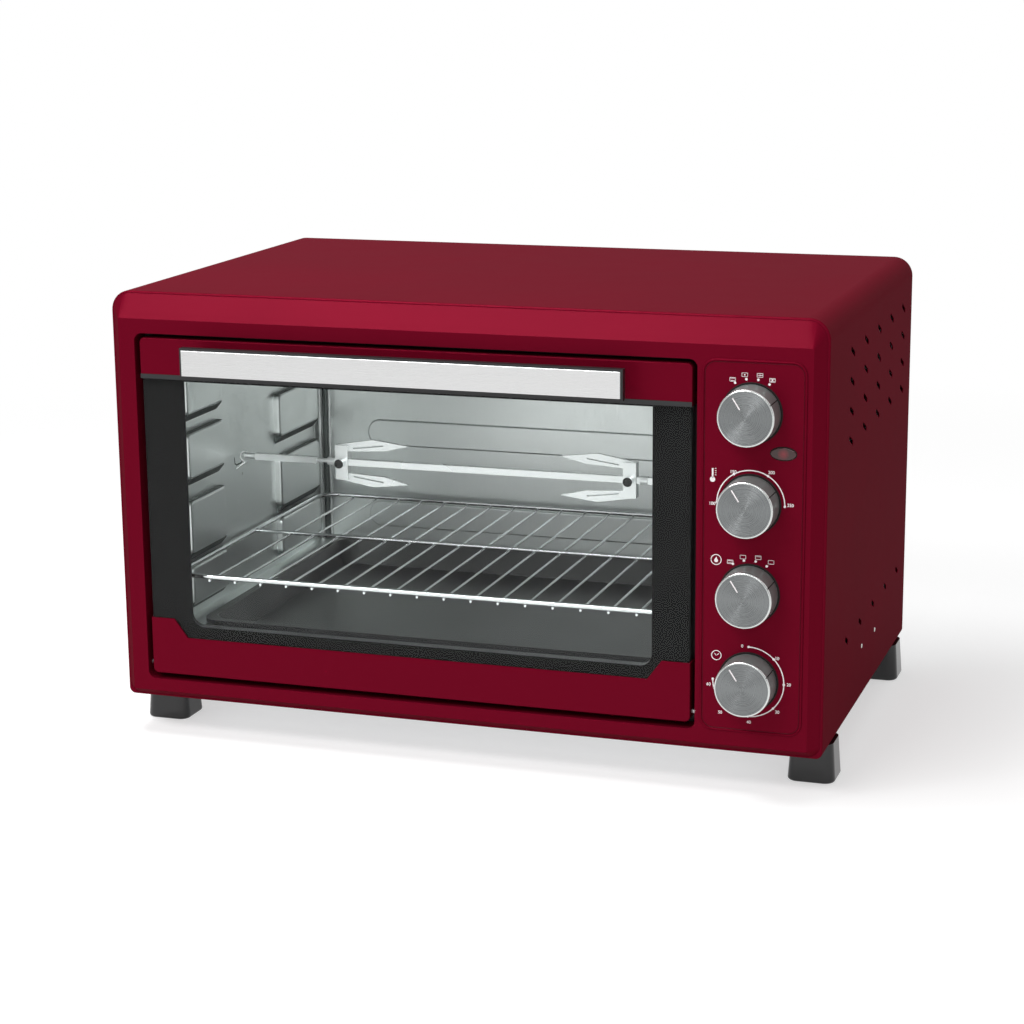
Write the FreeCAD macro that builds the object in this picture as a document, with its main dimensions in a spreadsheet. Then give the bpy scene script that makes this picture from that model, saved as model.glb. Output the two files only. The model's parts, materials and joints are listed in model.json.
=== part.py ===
import FreeCAD, Part
import Sketcher
import math
import os

# Counter-top electric oven with a drop-down glass door, a rotisserie and four knobs.
# X runs along the width, Y from the door to the rear panel, Z up. The origin is on the
# table, under the middle of the whole oven.

SIZES = {
    # Whole oven
    "body_w": 540.0,
    "body_h": 312.3,
    "body_d": 341.7,
    "foot_h": 29.2,
    "gland_reach": 5.0,
    # Sheet metal of the casing
    "sheet": 0.6,
    "corner_r": 15.0,
    "low_corner_r": 5.0,
    "roll_r": 1.5,
    "lip_w": 1.7,
    "fit": 0.15,
    "overrun": 2.0,
    "flange_w": 34.0,
    "rear_lip_w": 12.0,
    # Vent slots in the right side
    "vent_front_gap": 92.5,
    "vent_rear_gap": 37.6,
    "vent_top_gap": 35.5,
    "vent_pitch": 21.5,
    "vent_low_z": 63.8,
    "vent_run": 12.0,
    "vent_drop": 5.4,
    "vent_low_run": 8.0,
    "vent_low_drop": 4.0,
    "vent_w": 3.7,
    # Vent slots in the rear panel and the base plate
    "rear_vent_side_gap": 165.0,
    "rear_vent_w": 46.0,
    "rear_vent_h": 4.0,
    "rear_vent_low_z": 151.8,
    "rear_vent_top_gap": 48.5,
    "base_vent_side_gap": 74.0,
    "base_vent_w": 40.0,
    "base_vent_d": 4.0,
    "base_vent_front_gap": 110.0,
    "base_vent_rear_gap": 91.7,
    "base_front_gap": 12.0,
    "screw_inset": 7.0,
    # Front bezel
    "seam_depth": 8.8,
    "face_side": 9.3,
    "face_top": 19.2,
    "face_bottom": 7.3,
    "crease_r": 1.2,
    "bezel_low_r": 10.0,
    "bezel_sheet": 0.8,
    "bezel_flange": 8.0,
    "opening_left_gap": 22.0,
    "opening_right_gap": 90.0,
    "opening_low_z": 16.8,
    "opening_top_gap": 29.9,
    "opening_corner_r": 6.0,
    "return_depth": 17.6,
    # Control panel and what shows on it
    "panel_side_gap": 14.05,
    "panel_w": 71.7,
    "panel_low_z": 18.8,
    "panel_top_gap": 29.5,
    "panel_corner_r": 9.0,
    "panel_gap": 0.6,
    "panel_proud": 0.4,
    "panel_edge_r": 0.35,
    "bracket_sheet": 1.2,
    "bracket_margin": 2.6,
    "lamp_side_gap": 14.95,
    "lamp_drop": 26.9,
    "lamp_w": 18.0,
    "lamp_h": 9.0,
    "lamp_proud": 1.0,
    "lamp_hole_gap": 0.1,
    "lamp_body_r": 3.5,
    "lamp_body_d": 20.0,
    # Knobs, shafts and switches
    "knob_r": 20.0,
    "knob_reach": 20.5,
    "knob_base_r": 20.3,
    "knob_bevel": 1.3,
    "knob_gap": 0.8,
    "knob_inset": 34.25,
    "knob_first_z": 55.6,
    "knob_top_gap": 36.1,
    "knob_bore_depth": 15.0,
    "knob_mark_w": 1.0,
    "knob_mark_r1": 7.0,
    "knob_mark_r2": 16.5,
    "knob_mark_depth": 0.3,
    "knob_seam_w": 0.7,
    "knob_seam_depth": 0.8,
    "shaft_r": 3.0,
    "running_gap": 0.05,
    "shaft_hole_gap": 1.2,
    "shaft_in_switch": 12.0,
    "switch_w": 32.0,
    "switch_h": 30.0,
    "switch_d": 26.0,
    "thermostat_w": 36.0,
    "thermostat_h": 40.0,
    "thermostat_d": 20.0,
    "timer_w": 46.0,
    "timer_h": 46.0,
    "timer_d": 42.0,
    # Oven cavity
    "cavity_side_gap": 13.0,
    "cavity_low_z": 13.8,
    "cavity_top_gap": 40.5,
    "cavity_rear_gap": 26.7,
    "frame_margin": 4.0,
    "frame_low_margin": 5.0,
    "emboss": 5.5,
    "emboss_r": 2.2,
    "emboss_corner_r": 5.0,
    "pad_front_y1": 46.0,
    "pad_front_y2": 110.0,
    "pad_rear_gap": 16.0,
    "pad_rear_l": 82.0,
    "pad_low_z": 62.8,
    "ledge_w": 21.0,
    "ledge_front_gap": 8.0,
    "ledge_rear_gap": 4.0,
    "bead_side_gap": 45.0,
    "bead_h": 22.5,
    "bead_d": 2.5,
    "bead_low_z": 67.8,
    "bead_pitch": 71.5,
    # Heating elements
    "element_r": 3.25,
    "element_front_y": 95.0,
    "element_rear_gap": 75.0,
    "element_side_gap": 26.0,
    "element_bend_r": 24.0,
    "element_low_z": 24.8,
    "element_top_gap": 14.0,
    "element_tail": 20.0,
    "element_hole_gap": 1.3,
    "bush_r": 7.0,
    "bush_l": 12.0,
    "clip_inset": 75.0,
    "clip_w": 14.0,
    "clip_sheet": 1.2,
    "clip_rim": 2.5,
    "clip_gap": 0.1,
    # Wire rack
    "rack_side_gap": 2.5,
    "rack_front_y": 15.2,
    "rack_rear_gap": 9.5,
    "rack_z": 96.3,
    "rail_r": 2.5,
    "rack_corner_r": 14.0,
    "middle_r": 2.0,
    "cross_r": 1.4,
    "cross_side_gap": 31.3,
    "weld": 0.4,
    "seat_gap": 0.3,
    # Tray
    "tray_side_gap": 16.0,
    "tray_front_y": 33.0,
    "tray_rear_gap": 4.0,
    "tray_rim_z": 56.8,
    "tray_depth": 20.5,
    "tray_rim_w": 6.0,
    "tray_draft": 8.0,
    "tray_corner_r": 14.0,
    "tray_hem": 3.0,
    "tray_sheet": 0.6,
    # Rotisserie
    "spit_y": 150.0,
    "spit_z": 160.6,
    "spit_side": 5.0,
    "spit_pin_r": 2.2,
    "pin_start_inset": 4.5,
    "pin_end_inset": 14.0,
    "neck_start_inset": 67.3,
    "neck_end_inset": 76.7,
    "neck_r": 1.7,
    "collar_l": 6.0,
    "collar_r": 3.4,
    "fork_left_inset": 89.4,
    "fork_right_inset": 76.2,
    "fork_gap": 8.0,
    "hub_l": 10.4,
    "hub_half_h": 13.8,
    "hub_wall": 1.5,
    "fork_t": 3.0,
    "tine_root_w": 5.0,
    "tine_bow": 19.0,
    "tine_bow_at": 26.0,
    "tine_belly": 10.5,
    "tine_belly_at": 35.6,
    "tine_tip": 15.4,
    "tine_l": 55.5,
    "slit_start": 9.0,
    "slit_end": 34.6,
    "slit_w": 1.1,
    "thumb_r": 3.6,
    "thumb_l": 6.0,
    "thumb_shank_r": 1.8,
    "socket_r": 7.5,
    "socket_l": 14.0,
    "socket_depth": 11.0,
    "socket_gap": 0.1,
    "socket_wall_gap": 1.0,
    "drive_shaft_l": 14.0,
    "motor_w": 50.0,
    "motor_h": 50.0,
    "motor_l": 28.0,
    # Spit bracket on the left wall
    "bracket_plate_w": 12.0,
    "bracket_arm_w": 8.0,
    "bracket_drop": 8.0,
    "bracket_rise": 2.0,
    "bracket_arm_l": 10.6,
    "bracket_t": 1.2,
    # Door
    "gap_side": 3.6,
    "gap_top": 3.3,
    "gap_bottom": 4.5,
    "door_set": 1.0,
    "door_back_y": 14.0,
    "strip_sheet": 1.0,
    "strip_edge_r": 0.9,
    "door_corner_r": 4.0,
    "top_strip_h": 30.0,
    "bottom_strip_h": 29.2,
    "end_rise": 14.3,
    "end_left_w": 19.3,
    "end_right_w": 21.1,
    "end_slant": 10.6,
    "glass_t": 4.0,
    "glass_edge_r": 0.4,
    "glass_low_gap": 11.5,
    "glass_top_gap": 18.5,
    "print_t": 0.2,
    "print_left_step": 3.6,
    "print_top_step": 12.1,
    "window_side_gap": 29.4,
    "window_low_gap": 37.5,
    "window_top_gap": 20.3,
    "window_corner_r": 9.0,
    "inner_low_gap": 9.5,
    "inner_side_gap": 1.0,
    "inner_sheet": 1.0,
    # Handle
    "handle_side_gap": 43.4,
    "handle_h": 22.0,
    "handle_t": 6.0,
    "handle_drop": 13.6,
    "handle_reach": 22.5,
    "plate_border": 1.6,
    "plate_t": 1.0,
    "post_inset": 17.0,
    "post_r": 6.0,
    "handle_screw_r": 2.0,
    "handle_screw_head_r": 4.0,
    "handle_screw_head": 2.5,
    "handle_screw_l": 9.0,
    # Hinge
    "hinge_y": 8.0,
    "hinge_z": 27.8,
    "pin_r": 2.0,
    "pin_inside": 8.0,
    "hinge_plate_t": 2.5,
    "hinge_plate_w": 10.0,
    "hinge_plate_h": 18.0,
    "pin_hole_gap": 0.4,
    # Feet
    "foot_inset": 14.8,
    "foot_front_y": 57.0,
    "foot_rear_gap": 24.2,
    "foot_w": 35.0,
    "foot_l": 35.0,
    "foot_draft": 2.0,
    "foot_corner_r": 8.0,
    "foot_edge_r": 2.0,
    "foot_screw_inset": 22.3,
    "foot_web": 6.0,
    "foot_well_r": 5.5,
    # Screws, terminal block and gland
    "screw_r": 1.75,
    "screw_head_r": 3.6,
    "screw_head": 2.0,
    "screw_l": 7.0,
    "screw_hole_gap": 0.1,
    "foot_screw_r": 2.0,
    "foot_screw_head_r": 4.2,
    "foot_screw_head": 2.5,
    "block_inset": 55.0,
    "block_rear_gap": 56.7,
    "block_w": 34.0,
    "block_l": 20.0,
    "block_h": 16.0,
    "block_hole_r": 2.5,
    "block_hole_pitch": 10.0,
    "gland_inset": 48.0,
    "gland_z": 47.8,
    "gland_r": 11.0,
    "gland_neck_r": 8.0,
    "gland_bore_r": 4.0,
    "gland_inner": 4.0,
}

VENT_COLUMNS = 5
VENT_ROWS = 4
REAR_VENT_ROWS = 8
BASE_VENT_ROWS = 8
CROSS_WIRES_EACH_SIDE = 8
BLOCK_HOLES = 3
KNOB_STEPS = 3
PAD_LEVEL_SHARES = ((0.055, 0.288), (0.383, 0.585), (0.664, 0.871))
RACK_MIDDLE_SHARE = 0.51
HEM_SHARE = 1.5
SCREW_HEIGHT_SHARES = (0.2, 0.5, 0.8)
SCREW_WIDTH_SHARES = (-0.6, 0.0, 0.6)
LENS_EDGE_SHARE = 0.8
PLATE_EDGE_SHARE = 0.4
BEAD_END_SHARE = 0.49
BEAD_EDGE_SHARE = 0.6
BEAD_HOLLOW_SHARE = 0.3
TOLERANCE_SHARE = 0.1
PARALLEL_SHARE = 0.999
QUARTER = math.pi / 2
KNOB_MARK_ANGLE = math.radians(-33.0)
KNOB_SEAM_ANGLE = math.radians(60.0)

doc = FreeCAD.newDocument("counter_top_oven")
sheet = doc.addObject("Spreadsheet::Sheet", "Sizes")
for row, (size_name, number) in enumerate(SIZES.items(), start=1):
    sheet.set(f"A{row}", size_name)
    sheet.set(f"B{row}", str(number))
    sheet.setAlias(f"B{row}", size_name)
doc.recompute()


class Size:
    """A length that carries the sheet formula it is worked out from."""

    def __init__(self, value, formula):
        self.value = value
        self.formula = formula

    def __float__(self):
        return self.value

    def __neg__(self):
        return Size(-self.value, f"(-1 * {self.formula})")

    def __add__(self, other):
        other = as_size(other)
        return Size(self.value + other.value, f"({self.formula} + {other.formula})")

    def __sub__(self, other):
        other = as_size(other)
        return Size(self.value - other.value, f"({self.formula} - {other.formula})")

    def __mul__(self, factor):
        return Size(self.value * factor, f"({self.formula} * {factor!r})")

    def __truediv__(self, factor):
        return Size(self.value / factor, f"({self.formula} / {factor!r})")

    __rmul__ = __mul__


def as_size(thing):
    """A plain number as a length that no cell drives."""
    if isinstance(thing, Size):
        return thing
    return Size(float(thing), repr(thing))


class Cells:
    """Every named size of the sheet, read by its name."""

    def __getattr__(self, name):
        return Size(float(getattr(sheet, name)), f"Sizes.{name}")


s = Cells()
ZERO = as_size(0)
nodes = {}

# Planes that many pieces share. Depths count from the bezel's flat face, heights from the
# casing's underside.
front = (s.handle_reach - s.gland_reach - s.body_d) / 2
base = s.foot_h
half_w = s.body_w / 2
top = base + s.body_h
rear = front + s.body_d
seam = front + s.seam_depth


def deep(depth):
    return front + depth


def high(height):
    return base + height


def vector(x, y, z):
    return FreeCAD.Vector(float(x), float(y), float(z))


def keep(name, thing):
    """Lists a finished sub-part under the name that its file gets."""
    thing.Label = name
    nodes[name] = thing
    return thing


# Helpers for bodies made from sketches


def new_body(name):
    return doc.addObject("PartDesign::Body", name)


def sketch_on(body, plane, at, shift_up=ZERO):
    """An empty sketch on one of the body's own planes, moved to a distance along X, Y or Z."""
    sketch = body.newObject("Sketcher::SketchObject", f"{body.Name}_sketch")
    own = [f for f in body.Origin.OriginFeatures if f.Role == f"{plane}_Plane"][0]
    sketch.AttachmentSupport = [(own, "")]
    sketch.MapMode = "FlatFace"
    offset = -at if plane == "XZ" else at
    sketch.setExpression("AttachmentOffset.Base.z", offset.formula)
    sketch.setExpression("AttachmentOffset.Base.y", shift_up.formula)
    return sketch


def rectangle(a0, a1, b0, b1):
    return [(a0, b0), (a1, b0), (a1, b1), (a0, b1)]


class Disc:
    """A round loop for a sketch."""

    def __init__(self, a, b, radius):
        self.a = as_size(a)
        self.b = as_size(b)
        self.radius = radius


def place_point(sketch, geometry, point, a, b):
    """Ties one point of a sketch to its two coordinates."""
    across = sketch.addConstraint(
        Sketcher.Constraint("DistanceX", -1, 1, geometry, point, float(a)))
    sketch.setExpression(f"Constraints[{across}]", as_size(a).formula)
    upwards = sketch.addConstraint(
        Sketcher.Constraint("DistanceY", -1, 1, geometry, point, float(b)))
    sketch.setExpression(f"Constraints[{upwards}]", as_size(b).formula)


def draw_polygon(sketch, points):
    first = len(sketch.Geometry)
    count = len(points)
    for index, (a, b) in enumerate(points):
        a2, b2 = points[(index + 1) % count]
        sketch.addGeometry(Part.LineSegment(vector(a, b, 0), vector(a2, b2, 0)), False)
    for index in range(count):
        after = first + (index + 1) % count
        sketch.addConstraint(Sketcher.Constraint("Coincident", first + index, 2, after, 1))
    for index, (a, b) in enumerate(points):
        place_point(sketch, first + index, 1, a, b)


def draw_disc(sketch, disc):
    circle = Part.Circle(vector(disc.a, disc.b, 0), vector(0, 0, 1), float(disc.radius))
    index = sketch.addGeometry(circle, False)
    place_point(sketch, index, 3, disc.a, disc.b)
    size = sketch.addConstraint(Sketcher.Constraint("Radius", index, float(disc.radius)))
    sketch.setExpression(f"Constraints[{size}]", disc.radius.formula)


def draw(sketch, loops):
    for loop in loops:
        if isinstance(loop, Disc):
            draw_disc(sketch, loop)
        else:
            draw_polygon(sketch, loop)


def pad(body, plane, low, upper, *loops):
    """Adds the solid inside the loops, between two planes square to X, Y or Z."""
    sketch = sketch_on(body, plane, upper if plane == "XZ" else low)
    draw(sketch, loops)
    feature = body.newObject("PartDesign::Pad", f"{body.Name}_pad")
    feature.Profile = (sketch, [""])
    feature.setExpression("Length", (upper - low).formula)
    doc.recompute()
    return feature


def pocket(body, plane, low, upper, *loops):
    """Takes away what lies inside the loops, between two planes square to X, Y or Z."""
    before = body.Shape.Volume
    sketch = sketch_on(body, plane, low if plane == "XZ" else upper)
    draw(sketch, loops)
    feature = body.newObject("PartDesign::Pocket", f"{body.Name}_pocket")
    feature.Profile = (sketch, [""])
    feature.setExpression("Length", (upper - low).formula)
    doc.recompute()
    if body.Shape.Volume >= before:
        raise RuntimeError(f"a pocket of {body.Name} cuts nothing")
    return feature


def row_of(body, feature, axis, length, count):
    """Repeats a feature in a row along an axis of its own sketch."""
    pattern = body.newObject("PartDesign::LinearPattern", f"{body.Name}_row")
    pattern.Originals = [feature]
    pattern.Direction = (feature.Profile[0], [axis])
    pattern.setExpression("Length", length.formula)
    pattern.Occurrences = count
    body.Tip = pattern
    doc.recompute()
    return pattern


def edge_names(shape, wanted):
    return [f"Edge{i}" for i, edge in enumerate(shape.Edges, start=1) if wanted(edge)]


def runs_along(edge, axis):
    """True for a straight edge that is parallel to the axis."""
    if not isinstance(edge.Curve, Part.Line):
        return False
    return abs(getattr(edge.tangentAt(edge.FirstParameter), axis)) > PARALLEL_SHARE


def lies_at(edge, axis, place):
    """True for an edge that lies in the plane across the axis at that place."""
    box = edge.BoundBox
    low = getattr(box, f"{axis.upper()}Min")
    upper = getattr(box, f"{axis.upper()}Max")
    tolerance = float(s.running_gap) * TOLERANCE_SHARE
    return abs(low - float(place)) < tolerance and abs(upper - float(place)) < tolerance


def ends_at(edge, axis, place):
    """True for an edge that reaches the plane across the axis at that place."""
    box = edge.BoundBox
    ends = (getattr(box, f"{axis.upper()}Min"), getattr(box, f"{axis.upper()}Max"))
    tolerance = float(s.running_gap) * TOLERANCE_SHARE
    return min(abs(end - float(place)) for end in ends) < tolerance


def round_edges(body, radius, wanted):
    """Rounds the edges of the body that the test picks."""
    tip = body.Tip
    fillet = body.newObject("PartDesign::Fillet", f"{body.Name}_fillet")
    fillet.Base = (tip, edge_names(tip.Shape, wanted))
    fillet.setExpression("Radius", radius.formula)
    body.Tip = fillet
    doc.recompute()
    return fillet


def hollow_out(body, wall, open_face):
    """Leaves a wall of even thickness, open where the test picks a face."""
    tip = body.Tip
    names = [f"Face{i}" for i, face in enumerate(tip.Shape.Faces, start=1) if open_face(face)]
    shell = body.newObject("PartDesign::Thickness", f"{body.Name}_wall")
    shell.Base = (tip, names)
    shell.setExpression("Value", wall.formula)
    shell.Reversed = True
    shell.Join = 0
    body.Tip = shell
    doc.recompute()
    return shell


def revolve(body, plane, at, axis_up, points):
    """A solid of revolution about the line at axis_up in the sketch's own plane."""
    sketch = sketch_on(body, plane, at, axis_up)
    draw(sketch, [points])
    turned = body.newObject("PartDesign::Revolution", f"{body.Name}_turned")
    turned.Profile = (sketch, [""])
    turned.ReferenceAxis = (sketch, ["H_Axis"])
    turned.Angle = 360
    doc.recompute()
    return turned


# Helpers for primitives and booleans


def move_to(thing, x, y, z):
    thing.setExpression("Placement.Base.x", as_size(x).formula)
    thing.setExpression("Placement.Base.y", as_size(y).formula)
    thing.setExpression("Placement.Base.z", as_size(z).formula)


def box(name, x0, x1, y0, y1, z0, z1):
    block = doc.addObject("Part::Box", name)
    block.setExpression("Length", (x1 - x0).formula)
    block.setExpression("Width", (y1 - y0).formula)
    block.setExpression("Height", (z1 - z0).formula)
    move_to(block, x0, y0, z0)
    return block


def rod(name, axis, x, y, z, radius, length):
    """A cylinder that starts at a point and runs along X, Y or Z."""
    bar = doc.addObject("Part::Cylinder", name)
    bar.setExpression("Radius", radius.formula)
    bar.setExpression("Height", length.formula)
    turns = {"X": (0, 1, 0, 90), "Y": (1, 0, 0, -90), "Z": (0, 0, 1, 0)}
    a, b, c, angle = turns[axis]
    bar.Placement = FreeCAD.Placement(vector(0, 0, 0), FreeCAD.Rotation(vector(a, b, c), angle))
    move_to(bar, x, y, z)
    return bar


def cut(name, whole, *tools):
    tool = tools[0] if len(tools) == 1 else fuse(f"{name}_tools", *tools)
    result = doc.addObject("Part::Cut", name)
    result.Base = whole
    result.Tool = tool
    doc.recompute()
    return result


def fuse(name, *shapes):
    result = doc.addObject("Part::MultiFuse", name)
    result.Shapes = list(shapes)
    doc.recompute()
    return result


def feature(name, shape):
    """A shape that no sketch or primitive fits, kept as it is."""
    result = doc.addObject("Part::Feature", name)
    result.Shape = shape
    doc.recompute()
    return result


# Helpers for sheets with rounded corners and for bent wire


def rounded_wire(points, radii, closed=True):
    """A wire through the points whose corners are arcs of the given radii."""
    count = len(points)
    starts = []
    ends = []
    arcs = []
    for index, corner in enumerate(points):
        if not closed and index in (0, count - 1):
            starts.append(corner)
            ends.append(corner)
            arcs.append(None)
            continue
        before = (points[index - 1] - corner).normalize()
        after = (points[(index + 1) % count] - corner).normalize()
        half = before.getAngle(after) / 2
        reach = float(radii[index]) / math.tan(half)
        start = corner + before * reach
        end = corner + after * reach
        bisector = (before + after).normalize()
        middle = corner + bisector * (float(radii[index]) / math.sin(half) - float(radii[index]))
        starts.append(start)
        ends.append(end)
        arcs.append(Part.Arc(start, middle, end).toShape())
    edges = []
    for index in range(count if closed else count - 1):
        if arcs[index] is not None:
            edges.append(arcs[index])
        edges.append(Part.LineSegment(ends[index], starts[(index + 1) % count]).toShape())
    return Part.Wire(edges)


def flat_outline(x0, x1, z0, z1, y, radius, low_radius=None):
    """A rounded rectangle that stands across Y."""
    corners = [vector(x0, y, z0), vector(x1, y, z0), vector(x1, y, z1), vector(x0, y, z1)]
    low_radius = low_radius or radius
    return rounded_wire(corners, [low_radius, low_radius, radius, radius])


def level_outline(x0, x1, y0, y1, z, radius):
    """A rounded rectangle that lies across Z."""
    corners = [vector(x0, y0, z), vector(x1, y0, z), vector(x1, y1, z), vector(x0, y1, z)]
    return rounded_wire(corners, [radius] * 4)


def loft(*wires):
    return Part.makeLoft(list(wires), True, True)


def prism(wire, dx, dy, dz):
    return Part.Face(wire).extrude(vector(dx, dy, dz))


def bent_rod(points, bend, radius):
    """A round bar along the points, with an arc at each corner between its ends."""
    path = rounded_wire(points, [bend] * len(points), closed=False)
    heading = points[1] - points[0]
    section = Part.Wire(Part.makeCircle(float(radius), points[0], heading))
    return path.makePipeShell([section], True, True)


# Casing

screw_places = [(side * (half_w - s.screw_inset), high(s.body_h * share))
                for side in (-1, 1) for share in SCREW_HEIGHT_SHARES]
screw_places += [(half_w * share, z) for share in SCREW_WIDTH_SHARES
                 for z in (high(s.screw_inset), top - s.screw_inset)]
foot_x = half_w - s.foot_inset
foot_screw_x = half_w - s.foot_screw_inset
foot_depths = (s.foot_front_y, s.body_d - s.foot_rear_gap)
foot_screw_places = [(side * foot_screw_x, deep(y)) for side in (-1, 1) for y in foot_depths]
screw_hole_r = s.screw_r + s.screw_hole_gap
gland_x = half_w - s.gland_inset
foot_hole_r = s.foot_screw_r + s.screw_hole_gap


def slanted_slot(y, z, run, drop):
    """A slot through the right side sheet that falls towards the rear."""
    start = vector(half_w - s.sheet - s.overrun, deep(y) - run / 2, high(z) + drop / 2)
    end = vector(half_w - s.sheet - s.overrun, deep(y) + run / 2, high(z) - drop / 2)
    across = vector(s.sheet + 2 * s.overrun, 0, 0)
    along = (end - start).normalize()
    square = along.cross(vector(1, 0, 0)).normalize() * float(s.vent_w / 2)
    corners = [start + square, end + square, end - square, start - square]
    body = Part.Face(Part.makePolygon(corners + corners[:1])).extrude(across)
    length = float(s.sheet + 2 * s.overrun)
    ends = [Part.makeCylinder(float(s.vent_w / 2), length, point, vector(1, 0, 0))
            for point in (start, end)]
    return body.fuse(ends)


def make_outer_casing():
    """The painted sheet wrapped round the top and sides, with flanges under it."""
    body = new_body("casing_wrap")
    pad(body, "XZ", seam, rear, rectangle(-half_w, half_w, base, top))
    round_upright_corners(body, s.corner_r, s.low_corner_r)
    round_edges(body, s.roll_r, lambda e: lies_at(e, "y", seam))
    tolerance = float(s.sheet) * TOLERANCE_SHARE
    hollow_out(body, s.sheet, lambda f: abs(f.CenterOfMass.y - float(rear)) < tolerance)
    ring_edge = s.sheet / 2
    ring = clipped(half_w - ring_edge, base + ring_edge, top - ring_edge)
    window = clipped(half_w - s.rear_lip_w, base + s.rear_lip_w, top - s.rear_lip_w)
    holes = [Disc(x, z, screw_hole_r) for x, z in screw_places]
    pad(body, "XZ", rear - 2 * s.sheet, rear - s.sheet, ring, window, *holes)
    pocket(body, "XY", base - s.overrun, base + s.sheet + s.fit,
           rectangle(-half_w + s.flange_w, half_w - s.flange_w, seam + s.base_front_gap,
                     rear - s.rear_lip_w),
           *[Disc(x, y, foot_hole_r) for x, y in foot_screw_places])
    lip = s.lip_w
    mouth_wire = flat_outline(lip - half_w, half_w - lip, base + lip, top - lip,
                              seam - s.overrun, s.corner_r - lip, s.bezel_low_r - lip)
    opening = feature("casing_front_opening", prism(mouth_wire, 0, s.sheet + 2 * s.overrun, 0))
    step = (s.body_d - s.vent_front_gap - s.vent_rear_gap) / (VENT_COLUMNS - 1)
    columns = [s.vent_front_gap + step * column for column in range(VENT_COLUMNS)]
    rows = [s.body_h - s.vent_top_gap - s.vent_pitch * row for row in range(VENT_ROWS)]
    slots = [slanted_slot(y, z, s.vent_run, s.vent_drop) for y in columns for z in rows]
    slots += [slanted_slot(y, s.vent_low_z, s.vent_low_run, s.vent_low_drop) for y in columns]
    vents = feature("side_vent_slots", Part.makeCompound(slots))
    keep("outer_casing", cut("outer_casing", body, opening, vents))


def round_upright_corners(body, radius, low_radius):
    """Rounds the four edges along Y of a block, the two lower ones by a radius of their own."""
    middle = float(base + s.body_h / 2)
    round_edges(body, radius, lambda e: runs_along(e, "y") and e.CenterOfMass.z > middle)
    round_edges(body, low_radius, lambda e: runs_along(e, "y") and e.CenterOfMass.z < middle)


def clipped(side, low, upper):
    """An upright rectangle whose corners are clipped to stay inside the casing's corners."""
    wide = s.corner_r
    small = s.low_corner_r
    return [(side, low + small), (side, upper - wide), (side - wide, upper),
            (wide - side, upper), (-side, upper - wide), (-side, low + small),
            (small - side, low), (side - small, low)]


def make_rear_panel():
    """The painted sheet that closes the back, with vents and the hole for the gland."""
    body = new_body("rear_panel")
    gap = s.sheet + s.fit
    pad(body, "XZ", rear - s.sheet, rear,
        rectangle(gap - half_w, half_w - gap, base + gap, top - gap))
    round_upright_corners(body, s.corner_r - gap, s.low_corner_r - gap)
    pocket(body, "XZ", rear - s.sheet - s.overrun, rear + s.overrun,
           Disc(gland_x, high(s.gland_z), s.gland_neck_r + s.running_gap),
           *[Disc(x, z, screw_hole_r) for x, z in screw_places])
    x0 = half_w - s.rear_vent_side_gap
    z0 = high(s.rear_vent_low_z)
    slot = pocket(body, "XZ", rear - s.sheet - s.overrun, rear + s.overrun,
                  rectangle(x0, x0 + s.rear_vent_w, z0, z0 + s.rear_vent_h))
    row_of(body, slot, "V_Axis", top - s.rear_vent_top_gap - z0, REAR_VENT_ROWS)
    keep("rear_panel", body)


def make_base_plate():
    """The flat sheet that lies on the casing's flanges and closes the bottom."""
    body = new_body("base_plate")
    side = half_w - s.low_corner_r - s.fit
    pad(body, "XY", base + s.sheet, base + 2 * s.sheet,
        rectangle(-side, side, seam + s.bezel_flange + s.fit, rear - 2 * s.sheet - s.fit))
    pocket(body, "XY", base, base + 3 * s.sheet,
           *[Disc(x, y, foot_hole_r) for x, y in foot_screw_places])
    x0 = half_w - s.base_vent_side_gap
    y0 = deep(s.base_vent_front_gap)
    slot = pocket(body, "XY", base, base + 3 * s.sheet,
                  rectangle(x0, x0 + s.base_vent_w, y0, y0 + s.base_vent_d))
    row_of(body, slot, "V_Axis", rear - s.base_vent_rear_gap - y0, BASE_VENT_ROWS)
    keep("base_plate", body)


# Front bezel, with the openings that the door and the control panel fill

opening_l = s.opening_left_gap - half_w
opening_r = half_w - s.opening_right_gap
opening_x = (opening_l + opening_r) / 2
opening_low = high(s.opening_low_z)
opening_top = top - s.opening_top_gap
panel_r = half_w - s.panel_side_gap
panel_l = panel_r - s.panel_w
panel_low = high(s.panel_low_z)
panel_top = top - s.panel_top_gap
return_end = deep(s.return_depth)


def bend(x, z, y, radius, start, end, side):
    """An arc across Y about a centre, between two angles that count from the right upwards."""
    points = [vector(side * (float(x) + float(radius) * math.cos(angle)), y,
                     float(z) + float(radius) * math.sin(angle))
              for angle in (start, (start + end) / 2, end)]
    return Part.Arc(*points).toShape()


def straight(x0, z0, x1, z1, y, side):
    return Part.LineSegment(vector(side * x0, y, z0), vector(side * x1, y, z1)).toShape()


def slope_wire(y, half, low, low_radius, head, shoulder, corner):
    """An outline of the bezel's slope, alike on both sides. Every such wire has the same edges,
    so that a loft joins them in pairs: the corner's two edges meet at the mitre."""
    stops = corner + [
        lambda side: straight(half, shoulder, half, low + low_radius, y, side),
        lambda side: bend(half - low_radius, low + low_radius, y, low_radius, 0, -QUARTER, side)]
    right = [stop(1) for stop in stops]
    left = [stop(-1) for stop in reversed(stops)]
    foot = straight(half - low_radius, low, low_radius - half, low, y, 1)
    top_x, top_z = head
    return Part.Wire(right + [foot] + left + [straight(-top_x, top_z, top_x, top_z, y, 1)])


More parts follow.
